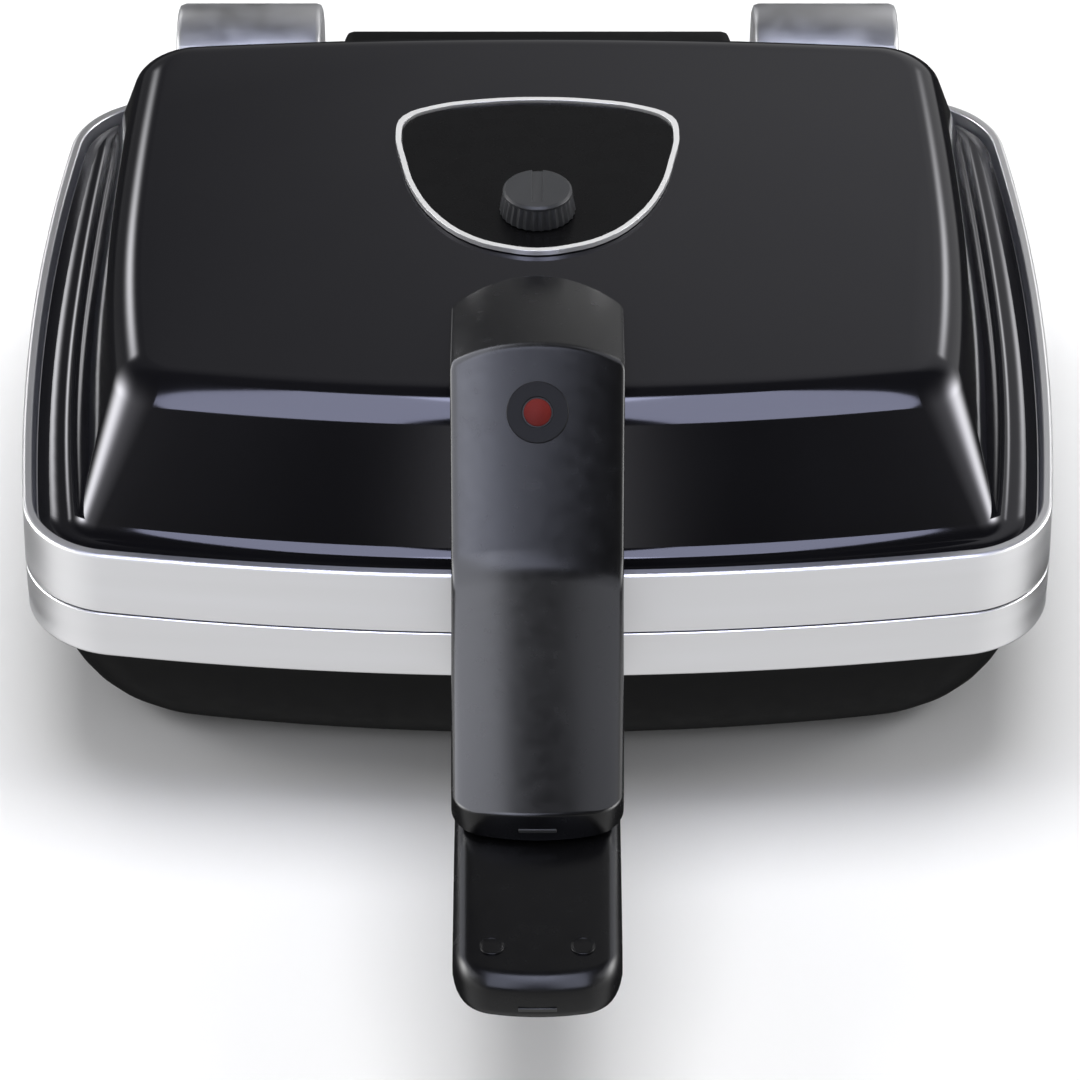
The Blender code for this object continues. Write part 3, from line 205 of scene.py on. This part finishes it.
def planArcs(plan, side, hand):  # end, corner and side arcs of one quarter: centre, radius, from, turn
    halfX = plan["width"] / 2
    halfY, bow, sideBow, rounding = plan[side]
    endRadius = (halfX ** 2 + bow ** 2) / (2 * bow)
    sideRadius = (halfY ** 2 + sideBow ** 2) / (2 * sideBow)
    endCentre = Vector((0, halfY - endRadius))
    sideCentre = Vector((halfX - sideRadius, 0))
    endReach, sideReach = endRadius - rounding, sideRadius - rounding
    span = sideCentre - endCentre
    along = (span.length_squared + endReach ** 2 - sideReach ** 2) / (2 * span.length)
    unit = span.normalized()
    across = Vector((-unit.y, unit.x)) * math.sqrt(endReach ** 2 - along ** 2)
    crossings = (endCentre + unit * along + across, endCentre + unit * along - across)
    corner = max(crossings, key=lambda spot: spot.x)
    endTurn = math.atan2(corner.y - endCentre.y, corner.x - endCentre.x)
    sideTurn = math.atan2(corner.y - sideCentre.y, corner.x - sideCentre.x)
    arcs = (
        (endCentre, endRadius, math.pi / 2, endTurn),
        (corner, rounding, endTurn, sideTurn),
        (sideCentre, sideRadius, sideTurn, 0),
    )
    return [(Vector((centre.x, centre.y * hand)), radius, start * hand, (end - start) * hand)
            for centre, radius, start, end in arcs]


outlineSteps = (14, 18, 10)  # facets of an end, a corner and a side arc in each quarter
ringSpacing = 0.05  # between rings while they are bridged
mergeReach = 0.00002
flatTurn = math.radians(0.6)  # faces within this of each other count as one flat face


def outline(mesh, plan, height, inset=0.0, steps=outlineSteps):  # a closed ring of edges, spun arc by arc
    oldVerts, oldEdges = set(mesh.verts), set(mesh.edges)
    for hand, side in ((1, "back"), (-1, "front")):
        for (centre, radius, start, turn), count in zip(planArcs(plan, side, hand), steps):
            reach = radius - inset
            place = (centre.x + reach * math.cos(start), centre.y + reach * math.sin(start), height)
            first = mesh.verts.new(place)
            bmesh.ops.spin(mesh, geom=[first], cent=(centre.x, centre.y, height), axis=(0, 0, 1),
                           angle=turn, steps=count, use_duplicate=False)
    half = [vert for vert in mesh.verts if vert not in oldVerts]
    halfEdges = [edge for edge in mesh.edges if edge not in oldEdges]
    bmesh.ops.mirror(mesh, geom=half + halfEdges, axis="X", merge_dist=0)
    fresh = [vert for vert in mesh.verts if vert not in oldVerts]
    bmesh.ops.remove_doubles(mesh, verts=fresh, dist=mergeReach)
    return [edge for edge in mesh.edges if edge not in oldEdges]


def skin(mesh, rings, closed=False):  # rings are spaced out while they are bridged, so that none twists
    heights = {vert: vert.co.z for ring in rings for edge in ring for vert in edge.verts}
    for step, ring in enumerate(rings):
        for vert in {vert for edge in ring for vert in edge.verts}:
            vert.co.z = step * ringSpacing
    pairs = list(zip(rings, rings[1:]))
    if closed:
        pairs.append((rings[-1], rings[0]))
    for first, second in pairs:
        bmesh.ops.bridge_loops(mesh, edges=first + second)
    for vert, height in heights.items():
        vert.co.z = height


def cap(mesh, ring):
    bmesh.ops.edgeloop_fill(mesh, edges=ring)


def outwards(mesh, capUp=None):  # capUp says which way an open shell's cap faces
    bmesh.ops.recalc_face_normals(mesh, faces=mesh.faces)
    if capUp is None:
        return
    lidFace = max(mesh.faces, key=lambda face: len(face.verts))
    lidFace.normal_update()
    if (lidFace.normal.z > 0) != capUp:
        bmesh.ops.reverse_faces(mesh, faces=mesh.faces)


def fromNode(name):  # a merged copy of a CAD node, with its flat faces whole
    mesh = bmesh.new()
    mesh.from_mesh(nodes[name].data)
    bmesh.ops.remove_doubles(mesh, verts=mesh.verts, dist=mergeReach / 10)
    bmesh.ops.dissolve_limit(mesh, angle_limit=flatTurn, verts=mesh.verts, edges=mesh.edges)
    return mesh


lid = {
    "flangeZ": 0.0175, "rise": 0.0450, "slopeRun": 0.0284, "rimInset": 0.0049,
    "creaseFillet": 0.0045, "topFillet": 0.0120, "sheet": 0.0012, "segments": 9,
    "crease": {"width": 0.2856, "front": (0.1158, 0.0146, 0.0085, 0.0062),
               "back": (0.1196, 0.0060, 0.0045, 0.0135)},
    "top": {"width": 0.238, "front": (0.0886, 0.0100, 0.0085, 0.0205),
            "back": (0.0878, 0.0066, 0.0030, 0.0215)},
}


def lidFillets():  # the lid's slope turned into how far each fillet reaches for its radius
    fillets = lid["creaseFillet"] + lid["topFillet"]
    lift = lid["rise"] - fillets
    span = math.hypot(lid["slopeRun"], lift)
    slope = math.atan2(lift, lid["slopeRun"]) + math.asin(fillets / span)
    return math.tan(slope / 2)


def makeLid():
    tangent = lidFillets()
    creaseShare = lid["creaseFillet"] * tangent / lid["slopeRun"]
    topShare = 1 - lid["topFillet"] * tangent / lid["slopeRun"]
    topZ = lid["flangeZ"] + lid["rise"]
    mesh = bmesh.new()
    rim = outline(mesh, framePlan, lid["flangeZ"], lid["rimInset"])
    crease = outline(mesh, blendPlans(lid["crease"], lid["top"], creaseShare), lid["flangeZ"])
    top = outline(mesh, blendPlans(lid["crease"], lid["top"], topShare), topZ)
    skin(mesh, (rim, crease, top))
    cap(mesh, top)
    outwards(mesh, capUp=True)
    for edges, radius in ((crease, lid["creaseFillet"]), (top, lid["topFillet"])):
        bmesh.ops.bevel(mesh, geom=edges, offset=radius * tangent, offset_type="OFFSET",
                        segments=lid["segments"], profile=0.5, affect="EDGES", material=-1,
                        clamp_overlap=False)
    toDatum(mesh)
    finishPiece("enamelLid", mesh, "lid", "enamel", ("upper_shell",),
                wall=lid["sheet"], sharp=60)


makeLid()
print("lid done")

frames = {
    "gap": 0.0003, "upperHeight": 0.0211, "lowerHeight": 0.0163, "draft": 0.0005, "edge": 0.0006,
    "rim": 0.0024, "wall": 0.0053, "ledge": 0.0085, "ledgeZ": 0.01595, "seatZ": 0.01295,
    "lowerSeatZ": -0.01295, "lowerLedgeZ": -0.01535, "rounding": 0.0005,
}


def makeFrames():
    gap, wall, edge = frames["gap"], frames["wall"], frames["edge"]
    top, low = frames["upperHeight"], -frames["lowerHeight"]
    rimStart = frames["draft"] + edge
    rimEnd = rimStart + frames["rim"]
    inner = wall + frames["ledge"]
    upper = (
        (0, gap), (frames["draft"], top - edge), (rimStart, top), (rimEnd, top),
        (rimEnd + edge, frames["ledgeZ"]), (inner, frames["ledgeZ"]), (inner, frames["seatZ"]),
        (wall, frames["seatZ"]), (wall, gap),
    )
    lower = (
        (0, -gap), (0, low + edge), (edge, low), (wall, low), (wall, frames["lowerLedgeZ"]),
        (inner, frames["lowerLedgeZ"]), (inner, frames["lowerSeatZ"]),
        (wall, frames["lowerSeatZ"]), (wall, -gap),
    )
    made = (("castFrameUpper", "upper_frame", "lid", upper),
            ("castFrameLower", "lower_frame", "base", lower))
    for name, node, body, profile in made:
        mesh = bmesh.new()
        rings = [outline(mesh, framePlan, height, inset) for inset, height in profile]
        skin(mesh, rings, closed=True)
        outwards(mesh)
        toDatum(mesh)
        finishPiece(name, mesh, body, "aluminium", (node,),
                    rounding=frames["rounding"])


makeFrames()
print("frames done")

bowl = {
    "rimInset": 0.00565, "topZ": -0.0157, "lowZ": -0.0530, "wall": 0.0022,
    "profile": (  # shares of the way in and of the way down
        (0, 0), (0, 0.05), (0.06, 0.12), (0.12, 0.255), (0.20, 0.40), (0.30, 0.56), (0.42, 0.71),
        (0.55, 0.83), (0.70, 0.92), (0.85, 0.975), (1, 1),
    ),
}


def makeBowl():
    rimPlan = insetPlan(framePlan, bowl["rimInset"])
    fall = bowl["lowZ"] - bowl["topZ"]
    mesh = bmesh.new()
    rings = [outline(mesh, blendPlans(rimPlan, floorPlan, inward), bowl["topZ"] + fall * downward)
             for inward, downward in bowl["profile"]]
    skin(mesh, rings)
    cap(mesh, rings[-1])
    outwards(mesh, capUp=False)
    toDatum(mesh)
    finishPiece("mouldedBowl", mesh, "base", "bowl", ("lower_shell",),
                wall=bowl["wall"], sharp=50)


makeBowl()
print("bowl done")

handle = {
    "steps": 8, "flatFacets": 9, "cornerRadius": 0.0080, "toeCorner": 0.0015, "edge": 0.0013,
    "crown": 0.0016, "sideFall": 0.0009, "ridgeCrown": 2.0, "bendCrown": 1.4, "toeCrown": 0.3,
    "gap": 0.0004, "bowShift": 0.00045, "halfRoot": 0.0250, "halfTip": 0.0236,
    "toe": -0.0381, "toeBow": 0.0145, "toeLift": 0.0022, "toeStep": 0.0014, "toeRound": 0.0010,
    "ridge": (-0.0866, 0.0750), "ridgeBow": 0.0032, "ridgeRound": 0.0030,
    "bend": (-0.1280, 0.0266), "bendRound": 0.0160,
    "end": (-0.2144, 0.0100), "endBow": 0.0045, "tipRound": 0.0011,
    "split": 0.0004, "splitRound": 0.0006,
    "overFrame": 0.0215, "frameSteps": (0.0005, 0.0049, 0.0053),
}
grip = {
    "steps": 10, "cornerRadius": 0.0100, "edge": 0.0046, "half": 0.0229, "gap": 0.0004,
    "tip": -0.2650, "bow": 0.0038, "top": -0.0008, "tipTop": -0.0049, "tipLow": -0.0192,
    "rootLow": -0.0250, "shoulder": -0.2142, "root": -0.1189,
    "shoulderRound": 0.03, "topRound": 0.0056, "lowRound": 0.0038, "rootRound": 0.004,
    "underFrame": ((-0.1196, -0.0206), (-0.1205, -0.0180), (-0.1205, -0.0167)),
}


def rounded(spots):  # a side profile with its corners turned into arcs: (y, z, radius, steps)
    turned = []
    count = len(spots)
    for index, (y, z, radius, steps) in enumerate(spots):
        here = Vector((y, z))
        if not radius:
            turned.append(here)
            continue
        before = (Vector(spots[index - 1][:2]) - here).normalized()
        after = (Vector(spots[(index + 1) % count][:2]) - here).normalized()
        half = before.angle(after) / 2
        centre = here + (before + after).normalized() * (radius / math.sin(half))
        start = here + before * (radius / math.tan(half)) - centre
        sweep = start.angle_signed(here + after * (radius / math.tan(half)) - centre)
        for step in range(steps + 1):
            turn = -sweep * step / steps
            turned.append(centre + Vector((start.x * math.cos(turn) - start.y * math.sin(turn),
                                           start.x * math.sin(turn) + start.y * math.cos(turn))))
    return turned


def acrossShares(half, corner, steps):  # places across a grip, closer together in its rounded corners
    flat = (half - corner) / half
    facets = handle["flatFacets"]
    inner = [flat * step / facets for step in range(facets)]
    outer = [flat + (1 - flat) * math.sin(math.pi / 2 * step / steps) for step in range(steps + 1)]
    right = inner + outer
    return [-share for share in right[:0:-1]] + right


def roundDrop(place, half, radius):  # how far a rounded edge has fallen at a place across
    beyond = max(0.0, abs(place) - (half - radius))
    return radius - math.sqrt(max(0.0, radius ** 2 - beyond ** 2))


def lidSide(gap):  # the lid's front in section, from flange to plateau, a gap away from it
    tangent = lidFillets()
    low = -lid["crease"]["front"][0] + lid["creaseFillet"] * tangent - gap * tangent
    high = -lid["top"]["front"][0] - lid["topFillet"] * tangent - gap * tangent
    return ((low, lid["flangeZ"] + gap, lid["creaseFillet"] - gap, 5),
            (high, lid["flangeZ"] + lid["rise"] + gap, lid["topFillet"] + gap, 7))


def upperSection(share):
    half = handle["halfRoot"]
    place = share * half
    crown = handle["crown"] * share ** 2 + handle["sideFall"] * share ** 4
    edgeFall = roundDrop(place, half, handle["edge"])
    cut = roundDrop(place, half, handle["cornerRadius"])
    fall = crown + edgeFall
    ridgeFall = crown * handle["ridgeCrown"] + edgeFall
    bendFall = crown * handle["bendCrown"] + edgeFall
    toe = handle["toe"] - handle["toeBow"] * share ** 2 - roundDrop(place, half, handle["toeCorner"])
    floor = lid["flangeZ"] + lid["rise"] + handle["gap"]
    toeTop = floor + handle["toeLift"] - fall * handle["toeCrown"]
    ridgeY = handle["ridge"][0] - handle["ridgeBow"] * share ** 2
    end = handle["end"][0] + handle["endBow"] * share ** 2 + cut
    split, over = handle["split"], handle["overFrame"]
    shift = handle["bowShift"] * share ** 2
    crease, plateau = [(y + shift, z, radius, steps)
                       for y, z, radius, steps in lidSide(handle["gap"])]
    front = -halfDepth - handle["gap"] + shift
    outer, inner, behind = [front + step for step in handle["frameSteps"]]
    spots = (
        (toe, floor, 0, 0), (toe - handle["toeStep"], toeTop, handle["toeRound"], 3),
        (ridgeY, handle["ridge"][1] - ridgeFall, handle["ridgeRound"], 6),
        (handle["bend"][0], handle["bend"][1] - bendFall, handle["bendRound"], 8),
        (end, handle["end"][1] - fall, handle["tipRound"], 5), (end, split, handle["splitRound"], 2),
        (front, split, 0, 0), (outer, over, 0, 0), (inner, over, 0, 0), (behind, crease[1], 0, 0),
        crease, plateau,
    )
    return rounded(spots)


def lowerSection(share):
    place = share * grip["half"]
    fall = roundDrop(place, grip["half"], grip["edge"])
    cut = roundDrop(place, grip["half"], grip["cornerRadius"])
    end = grip["tip"] + grip["bow"] * share ** 2 + cut
    front = -halfDepth - grip["gap"]
    top, tipTop = grip["top"] - fall, grip["tipTop"] - fall
    tipLow, rootLow = grip["tipLow"] + fall, grip["rootLow"] + fall
    spots = (
        (front, top, 0, 0), (grip["shoulder"], top, grip["shoulderRound"], 4),
        (end, tipTop, grip["topRound"], 9), (end, tipLow, grip["lowRound"], 5),
        (grip["shoulder"], tipLow, grip["shoulderRound"], 3),
        (front, rootLow, grip["rootRound"], 3), (grip["root"], rootLow, 0, 0),
        *((y, z, 0, 0) for y, z in grip["underFrame"]), (front, grip["underFrame"][-1][1], 0, 0),
    )
    return rounded(spots)


def halfAt(y):  # the upper handle narrows a little towards its tip
    start, end = -lid["top"]["front"][0], handle["end"][0]
    along = min(1.0, max(0.0, (start - y) / (start - end)))
    return handle["halfRoot"] + (handle["halfTip"] - handle["halfRoot"]) * along


def crossLoft(section, shares, halfWidth):
    mesh = bmesh.new()
    rings = []
    for share in shares:
        verts = [mesh.verts.new((share * halfWidth(spot.x), spot.x, spot.y)) for spot in section(share)]
        rings.append([mesh.edges.new((first, second)) for first, second in zip(verts, verts[1:] + verts[:1])])
    for first, second in zip(rings, rings[1:]):
        bmesh.ops.bridge_loops(mesh, edges=first + second)
    for ring in (rings[0], rings[-1]):
        cap(mesh, ring)
    outwards(mesh)
    return mesh


def makeHandles():
    upperShares = acrossShares(handle["halfRoot"], handle["cornerRadius"], handle["steps"])
    lowerShares = acrossShares(grip["half"], grip["cornerRadius"], grip["steps"])
    made = (
        ("handleUpper", "upper_handle", "lid", crossLoft(upperSection, upperShares, halfAt)),
        ("handleLower", "lower_handle", "base",
         crossLoft(lowerSection, lowerShares, lambda y: grip["half"])),
    )
    for name, node, body, mesh in made:
        finishPiece(name, toDatum(mesh), body, "moulded", (node,), sharp=40)


plugs = {
    "radius": 0.0033, "apart": 0.0244, "y": -0.2513, "top": -0.00355, "depth": 0.0020,
    "facets": 40, "rim": 0.0004, "rounding": 0.0002,
}


def makePlugs():
    for side, hand in (("Left", -1), ("Right", 1)):
        mesh = bmesh.new()
        bmesh.ops.create_cone(mesh, cap_ends=True, segments=plugs["facets"], radius1=plugs["radius"],
                              radius2=plugs["radius"], depth=plugs["depth"])
        upward = [face for face in mesh.faces if face.normal.z > 0.9]
        bmesh.ops.inset_region(mesh, faces=upward, thickness=plugs["rim"], depth=0)
        bmesh.ops.inset_region(mesh, faces=upward, thickness=plugs["rim"] / 2, depth=-plugs["rim"] / 2)
        spot = (hand * plugs["apart"] / 2, plugs["y"], plugs["top"] - plugs["depth"] / 2)
        bmesh.ops.translate(mesh, vec=spot, verts=mesh.verts)
        finishPiece("handlePlug" + side, toDatum(mesh), "base", "moulded",
                    ("handle_plug_" + side.lower(),), rounding=plugs["rounding"])


marks = {
    "size": (0.0104, 0.0010, 0.0012), "rounding": 0.0002,
    "Upper": (0, -0.2142, 0.0043), "Lower": (0, -0.2648, -0.0142),
}


def makeMarks():  # the small moulded bars on the handles' end faces
    for side, body in (("Upper", "lid"), ("Lower", "base")):
        mesh = bmesh.new()
        bmesh.ops.create_cube(mesh, size=1)
        bmesh.ops.scale(mesh, vec=marks["size"], verts=mesh.verts)
        bmesh.ops.translate(mesh, vec=marks[side], verts=mesh.verts)
        finishPiece("handleMark" + side, toDatum(mesh), body, "bar",
                    rounding=marks["rounding"])


makeHandles()
makePlugs()
makeMarks()
print("handles done")

dressed = (  # piece, node, body, look, slot, rounding
    ("hingeArmLeft", "hinge_arm_left", "lid", "hinge", "satin_aluminium", 0.0004),
    ("hingeArmRight", "hinge_arm_right", "lid", "hinge", "satin_aluminium", 0.0004),
    ("hingeLugLeft", "hinge_bracket_left", "base", "hinge", "satin_aluminium", 0.0005),
    ("hingeLugRight", "hinge_bracket_right", "base", "hinge", "satin_aluminium", 0.0005),
    ("hingePinLeft", "hinge_pin_left", "base", "steel", "zinc_steel", 0.0003),
    ("hingePinRight", "hinge_pin_right", "base", "steel", "zinc_steel", 0.0003),
    ("waffleGridUpper", "upper_plate", "lid", "coating", "non_stick_coating", 0.0007),
    ("waffleGridLower", "lower_plate", "base", "coating", "non_stick_coating", 0.0007),
    ("badgeFrame", "badge_rim", "lid", "trim", "bright_trim", 0.0005),
    ("badgeField", "badge_plate", "lid", "badge", "badge_black", 0.0002),
    ("dial", "thermostat_knob", "knob", "knob", "knob_grey", 0.0002),
    ("lampHolder", "lamp_bezel", "lid", "bezel", "knob_grey", 0.0003),
    ("lampLens", "lamp_lens", "lid", "lens", "lamp_red", 0.0002),
    ("inletCover", "rear_cover", "base", "bowl", "moulded_black", 0.0004),
    ("inletGrommet", "cable_grommet", "base", "rubber", "rubber_black", 0.0003),
    ("footFrontLeft", "foot_front_left", "base", "rubber", "rubber_black", 0.0004),
    ("footFrontRight", "foot_front_right", "base", "rubber", "rubber_black", 0.0004),
    ("footRearLeft", "foot_rear_left", "base", "rubber", "rubber_black", 0.0004),
    ("footRearRight", "foot_rear_right", "base", "rubber", "rubber_black", 0.0004),
)
lampLift = {"pieces": ("lampHolder", "lampLens"), "along": (0, -0.760, 0.650), "by": 0.0004}
for name, node, body, look, slot, rounding in dressed:
    mesh = fromNode(node)
    if name in lampLift["pieces"]:
        lift = Vector(lampLift["along"]) * lampLift["by"]
        bmesh.ops.translate(mesh, vec=lift, verts=mesh.verts)
    finishPiece(name, mesh, body, look, (node,), rounding=rounding)
print("dressed pieces:", len(dressed))

plain = {  # nodes that keep their own mesh
    "steel": ("base_screw_front_left", "base_screw_front_right", "base_screw_rear_left",
              "base_screw_rear_right", "thermostat_body", "thermostat_shaft"),
    "sheath": ("upper_heater", "lower_heater"),
    "sheet": ("upper_reflector", "lower_reflector"),
    "bezel": ("terminal_block",),
}
for look, names in plain.items():
    for name in names:
        for slotSpot in nodes[name].material_slots:
            slotSpot.material = finish[look]
print("hidden nodes given materials")

studio = {
    "floorSize": 12.0, "floorColor": (0.90, 0.90, 0.91), "floorRoughness": 0.9,
    "cameraSpot": (0, -1.1310, 0.9397), "lookAt": (0, -0.03125, 0.056), "lens": 159.47,
    "sensor": 36, "shiftX": 0.0023, "clip": (0.01, 50),
}


def aimed(spot, target):
    return (Vector(target) - Vector(spot)).to_track_quat("-Z", "Y").to_euler()


def makeFloor():
    mesh = bmesh.new()
    bmesh.ops.create_grid(mesh, x_segments=1, y_segments=1, size=studio["floorSize"] / 2)
    data = bpy.data.meshes.new("floor")
    mesh.to_mesh(data)
    mesh.free()
    floor = bpy.data.objects.new("floor", data)
    bpy.context.scene.collection.objects.link(floor)
    material, tree, shader = newMaterial("paleFloor", studio["floorColor"], 0, studio["floorRoughness"])
    shader.inputs["Specular IOR Level"].default_value = 0.0
    data.materials.append(material)
    floor.visible_glossy = False


def makeCamera():
    data = bpy.data.cameras.new("camera")
    data.lens = studio["lens"]
    data.sensor_width = studio["sensor"]
    data.shift_x = studio["shiftX"]
    data.clip_start, data.clip_end = studio["clip"]
    camera = bpy.data.objects.new("camera", data)
    camera.location = studio["cameraSpot"]
    camera.rotation_euler = aimed(studio["cameraSpot"], studio["lookAt"])
    bpy.context.scene.collection.objects.link(camera)
    bpy.context.scene.camera = camera


softboxes = {  # azimuths run from the front towards the right
    "frontLeft": {"azimuth": -16, "elevation": 47, "distance": 2.0, "size": (0.66, 2.9), "power": 38},
    "frontRight": {"azimuth": 16, "elevation": 47, "distance": 2.0, "size": (0.66, 2.9), "power": 38},
}
keys = {  # these light the matt surfaces and the floor only
    "overhead": {"azimuth": 180, "elevation": 72, "distance": 1.6, "size": (1.5, 0.8), "power": 22},
    "fromLeft": {"azimuth": -95, "elevation": 30, "distance": 1.8, "size": (0.5, 0.7), "power": 7},
    "fromRight": {"azimuth": 95, "elevation": 30, "distance": 1.8, "size": (0.5, 0.7), "power": 6},
}
handleLights = {  # only the upper handle sees these
    "handleLeft": {"azimuth": -90, "elevation": 48, "distance": 1.5, "size": (3.6, 1.95), "power": 165},
    "handleRight": {"azimuth": 122, "elevation": 50, "distance": 1.5, "size": (1.0, 1.2), "power": 9},
}
gripLights = {  # only the lower handle sees these
    "gripLeft": {"azimuth": -95, "elevation": 30, "distance": 1.5, "size": (2.4, 1.0), "power": 18},
    "gripRight": {"azimuth": 95, "elevation": 30, "distance": 1.5, "size": (2.4, 1.0), "power": 12},
}
coolLight = (0.74, 0.78, 1.0)
paleLight = (0.88, 0.90, 1.0)
lightAim = Vector((0, 0, 0.08))
keptOff = {"frontRight": ("handleUpper", "lampHolder", "lampLens")}


def linkTo(lamp, state, pieces):  # a light either meant for some pieces alone or kept off them
    receivers = bpy.data.collections.new(lamp.name + "Receivers")
    for name in pieces:
        receivers.objects.link(bpy.data.objects[name])
    for entry in receivers.collection_objects:
        entry.light_linking.link_state = state
    lamp.light_linking.receiver_collection = receivers


def makeLights():
    for name, box in {**softboxes, **keys, **handleLights, **gripLights}.items():
        turn, lift = math.radians(box["azimuth"]), math.radians(box["elevation"])
        away = Vector((math.sin(turn) * math.cos(lift), -math.cos(turn) * math.cos(lift), math.sin(lift)))
        data = bpy.data.lights.new(name, "AREA")
        data.shape = "RECTANGLE"
        data.size, data.size_y = box["size"]
        data.energy = box["power"]
        lamp = bpy.data.objects.new(name, data)
        lamp.location = lightAim + away * box["distance"]
        lamp.rotation_euler = aimed(lamp.location, lightAim)
        lamp.visible_camera = False
        if name in keys:
            lamp.visible_glossy = False
        else:
            data.color = coolLight if name in softboxes else paleLight
            lamp.visible_diffuse = False
        bpy.context.scene.collection.objects.link(lamp)
        if name in handleLights:
            linkTo(lamp, "INCLUDE", ("handleUpper",))
        elif name in gripLights:
            linkTo(lamp, "INCLUDE", ("handleLower",))
        elif name in keptOff:
            linkTo(lamp, "EXCLUDE", keptOff[name])


backdrop = {
    "fill": 0.42, "behindLeft": 0.14, "behindRight": 0.60, "front": 0.03, "below": 0.80,
    "turn": 0.2, "aboveFrom": (0.30, 0.62), "belowFrom": (-0.15, 0.25), "horizon": (-0.12, 0.0),
}
glows = (  # soft lights that only reflections see: towards, sharpness and radiance
    ((-0.97, 0.12, 0.12), 22, 17.0), ((0.97, 0.12, 0.12), 22, 16.0),
    ((-0.88, -0.40, 0.10), 6, 1.4), ((0.88, -0.40, 0.10), 6, 1.2),
    ((0, -0.99, 0.10), 260, 1.6),
    ((-0.46, 0.78, 0.42), 170, 7.5), ((0.46, 0.78, 0.42), 220, 5.5),
)


def valueNode(tree, operation, first, second):
    node = tree.nodes.new("ShaderNodeMath")
    node.operation = operation
    for socket, value in zip(node.inputs, (first, second)):
        if isinstance(value, (int, float)):
            socket.default_value = value
        else:
            tree.links.new(value, socket)
    return node.outputs["Value"]


def ramp(tree, source, start, end, low, high):  # low until start, high from end on
    node = tree.nodes.new("ShaderNodeMapRange")
    node.interpolation_type = "SMOOTHSTEP"
    for name, value in (("From Min", start), ("From Max", end), ("To Min", low), ("To Max", high)):
        if isinstance(value, (int, float)):
            node.inputs[name].default_value = value
        else:
            tree.links.new(value, node.inputs[name])
    tree.links.new(source, node.inputs["Value"])
    return node.outputs["Result"]


def reflected(tree, where):  # what shiny surfaces see: backdrop, dark room, pale floor, glows
    split = tree.nodes.new("ShaderNodeSeparateXYZ")
    tree.links.new(where, split.inputs["Vector"])
    turn, front = backdrop["turn"], backdrop["front"]
    behind = ramp(tree, split.outputs["X"], -turn, turn, backdrop["behindLeft"], backdrop["behindRight"])
    above = ramp(tree, split.outputs["Y"], *backdrop["aboveFrom"], front, behind)
    beneath = ramp(tree, split.outputs["Y"], *backdrop["belowFrom"], backdrop["below"], front)
    total = ramp(tree, split.outputs["Z"], *backdrop["horizon"], beneath, above)
    for toward, sharpness, radiance in glows:
        dot = tree.nodes.new("ShaderNodeVectorMath")
        dot.operation = "DOT_PRODUCT"
        dot.inputs[1].default_value = Vector(toward).normalized()
        tree.links.new(where, dot.inputs[0])
        facing = valueNode(tree, "MAXIMUM", dot.outputs["Value"], 0.0)
        glow = valueNode(tree, "MULTIPLY", valueNode(tree, "POWER", facing, float(sharpness)), radiance)
        total = valueNode(tree, "ADD", total, glow)
    return total


def makeWorld():
    world = bpy.data.worlds.new("studio")
    bpy.context.scene.world = world
    world.use_nodes = True
    tree = world.node_tree
    shader = tree.nodes["Background"]
    path = tree.nodes.new("ShaderNodeLightPath")
    where = tree.nodes.new("ShaderNodeTexCoord")
    seen = valueNode(tree, "MAXIMUM", path.outputs["Is Glossy Ray"], path.outputs["Is Transmission Ray"])
    level = tree.nodes.new("ShaderNodeMix")
    level.inputs["A"].default_value = backdrop["fill"]
    tree.links.new(seen, level.inputs["Factor"])
    tree.links.new(reflected(tree, where.outputs["Generated"]), level.inputs["B"])
    shown = tree.nodes.new("ShaderNodeMix")
    shown.inputs["B"].default_value = 1.0
    tree.links.new(path.outputs["Is Camera Ray"], shown.inputs["Factor"])
    tree.links.new(level.outputs["Result"], shown.inputs["A"])
    tree.links.new(shown.outputs["Result"], shader.inputs["Strength"])
    shader.inputs["Color"].default_value = (1, 1, 1, 1)


makeFloor()
makeCamera()
makeLights()
makeWorld()
bpy.context.scene.view_settings.view_transform = "Standard"
print("studio done")
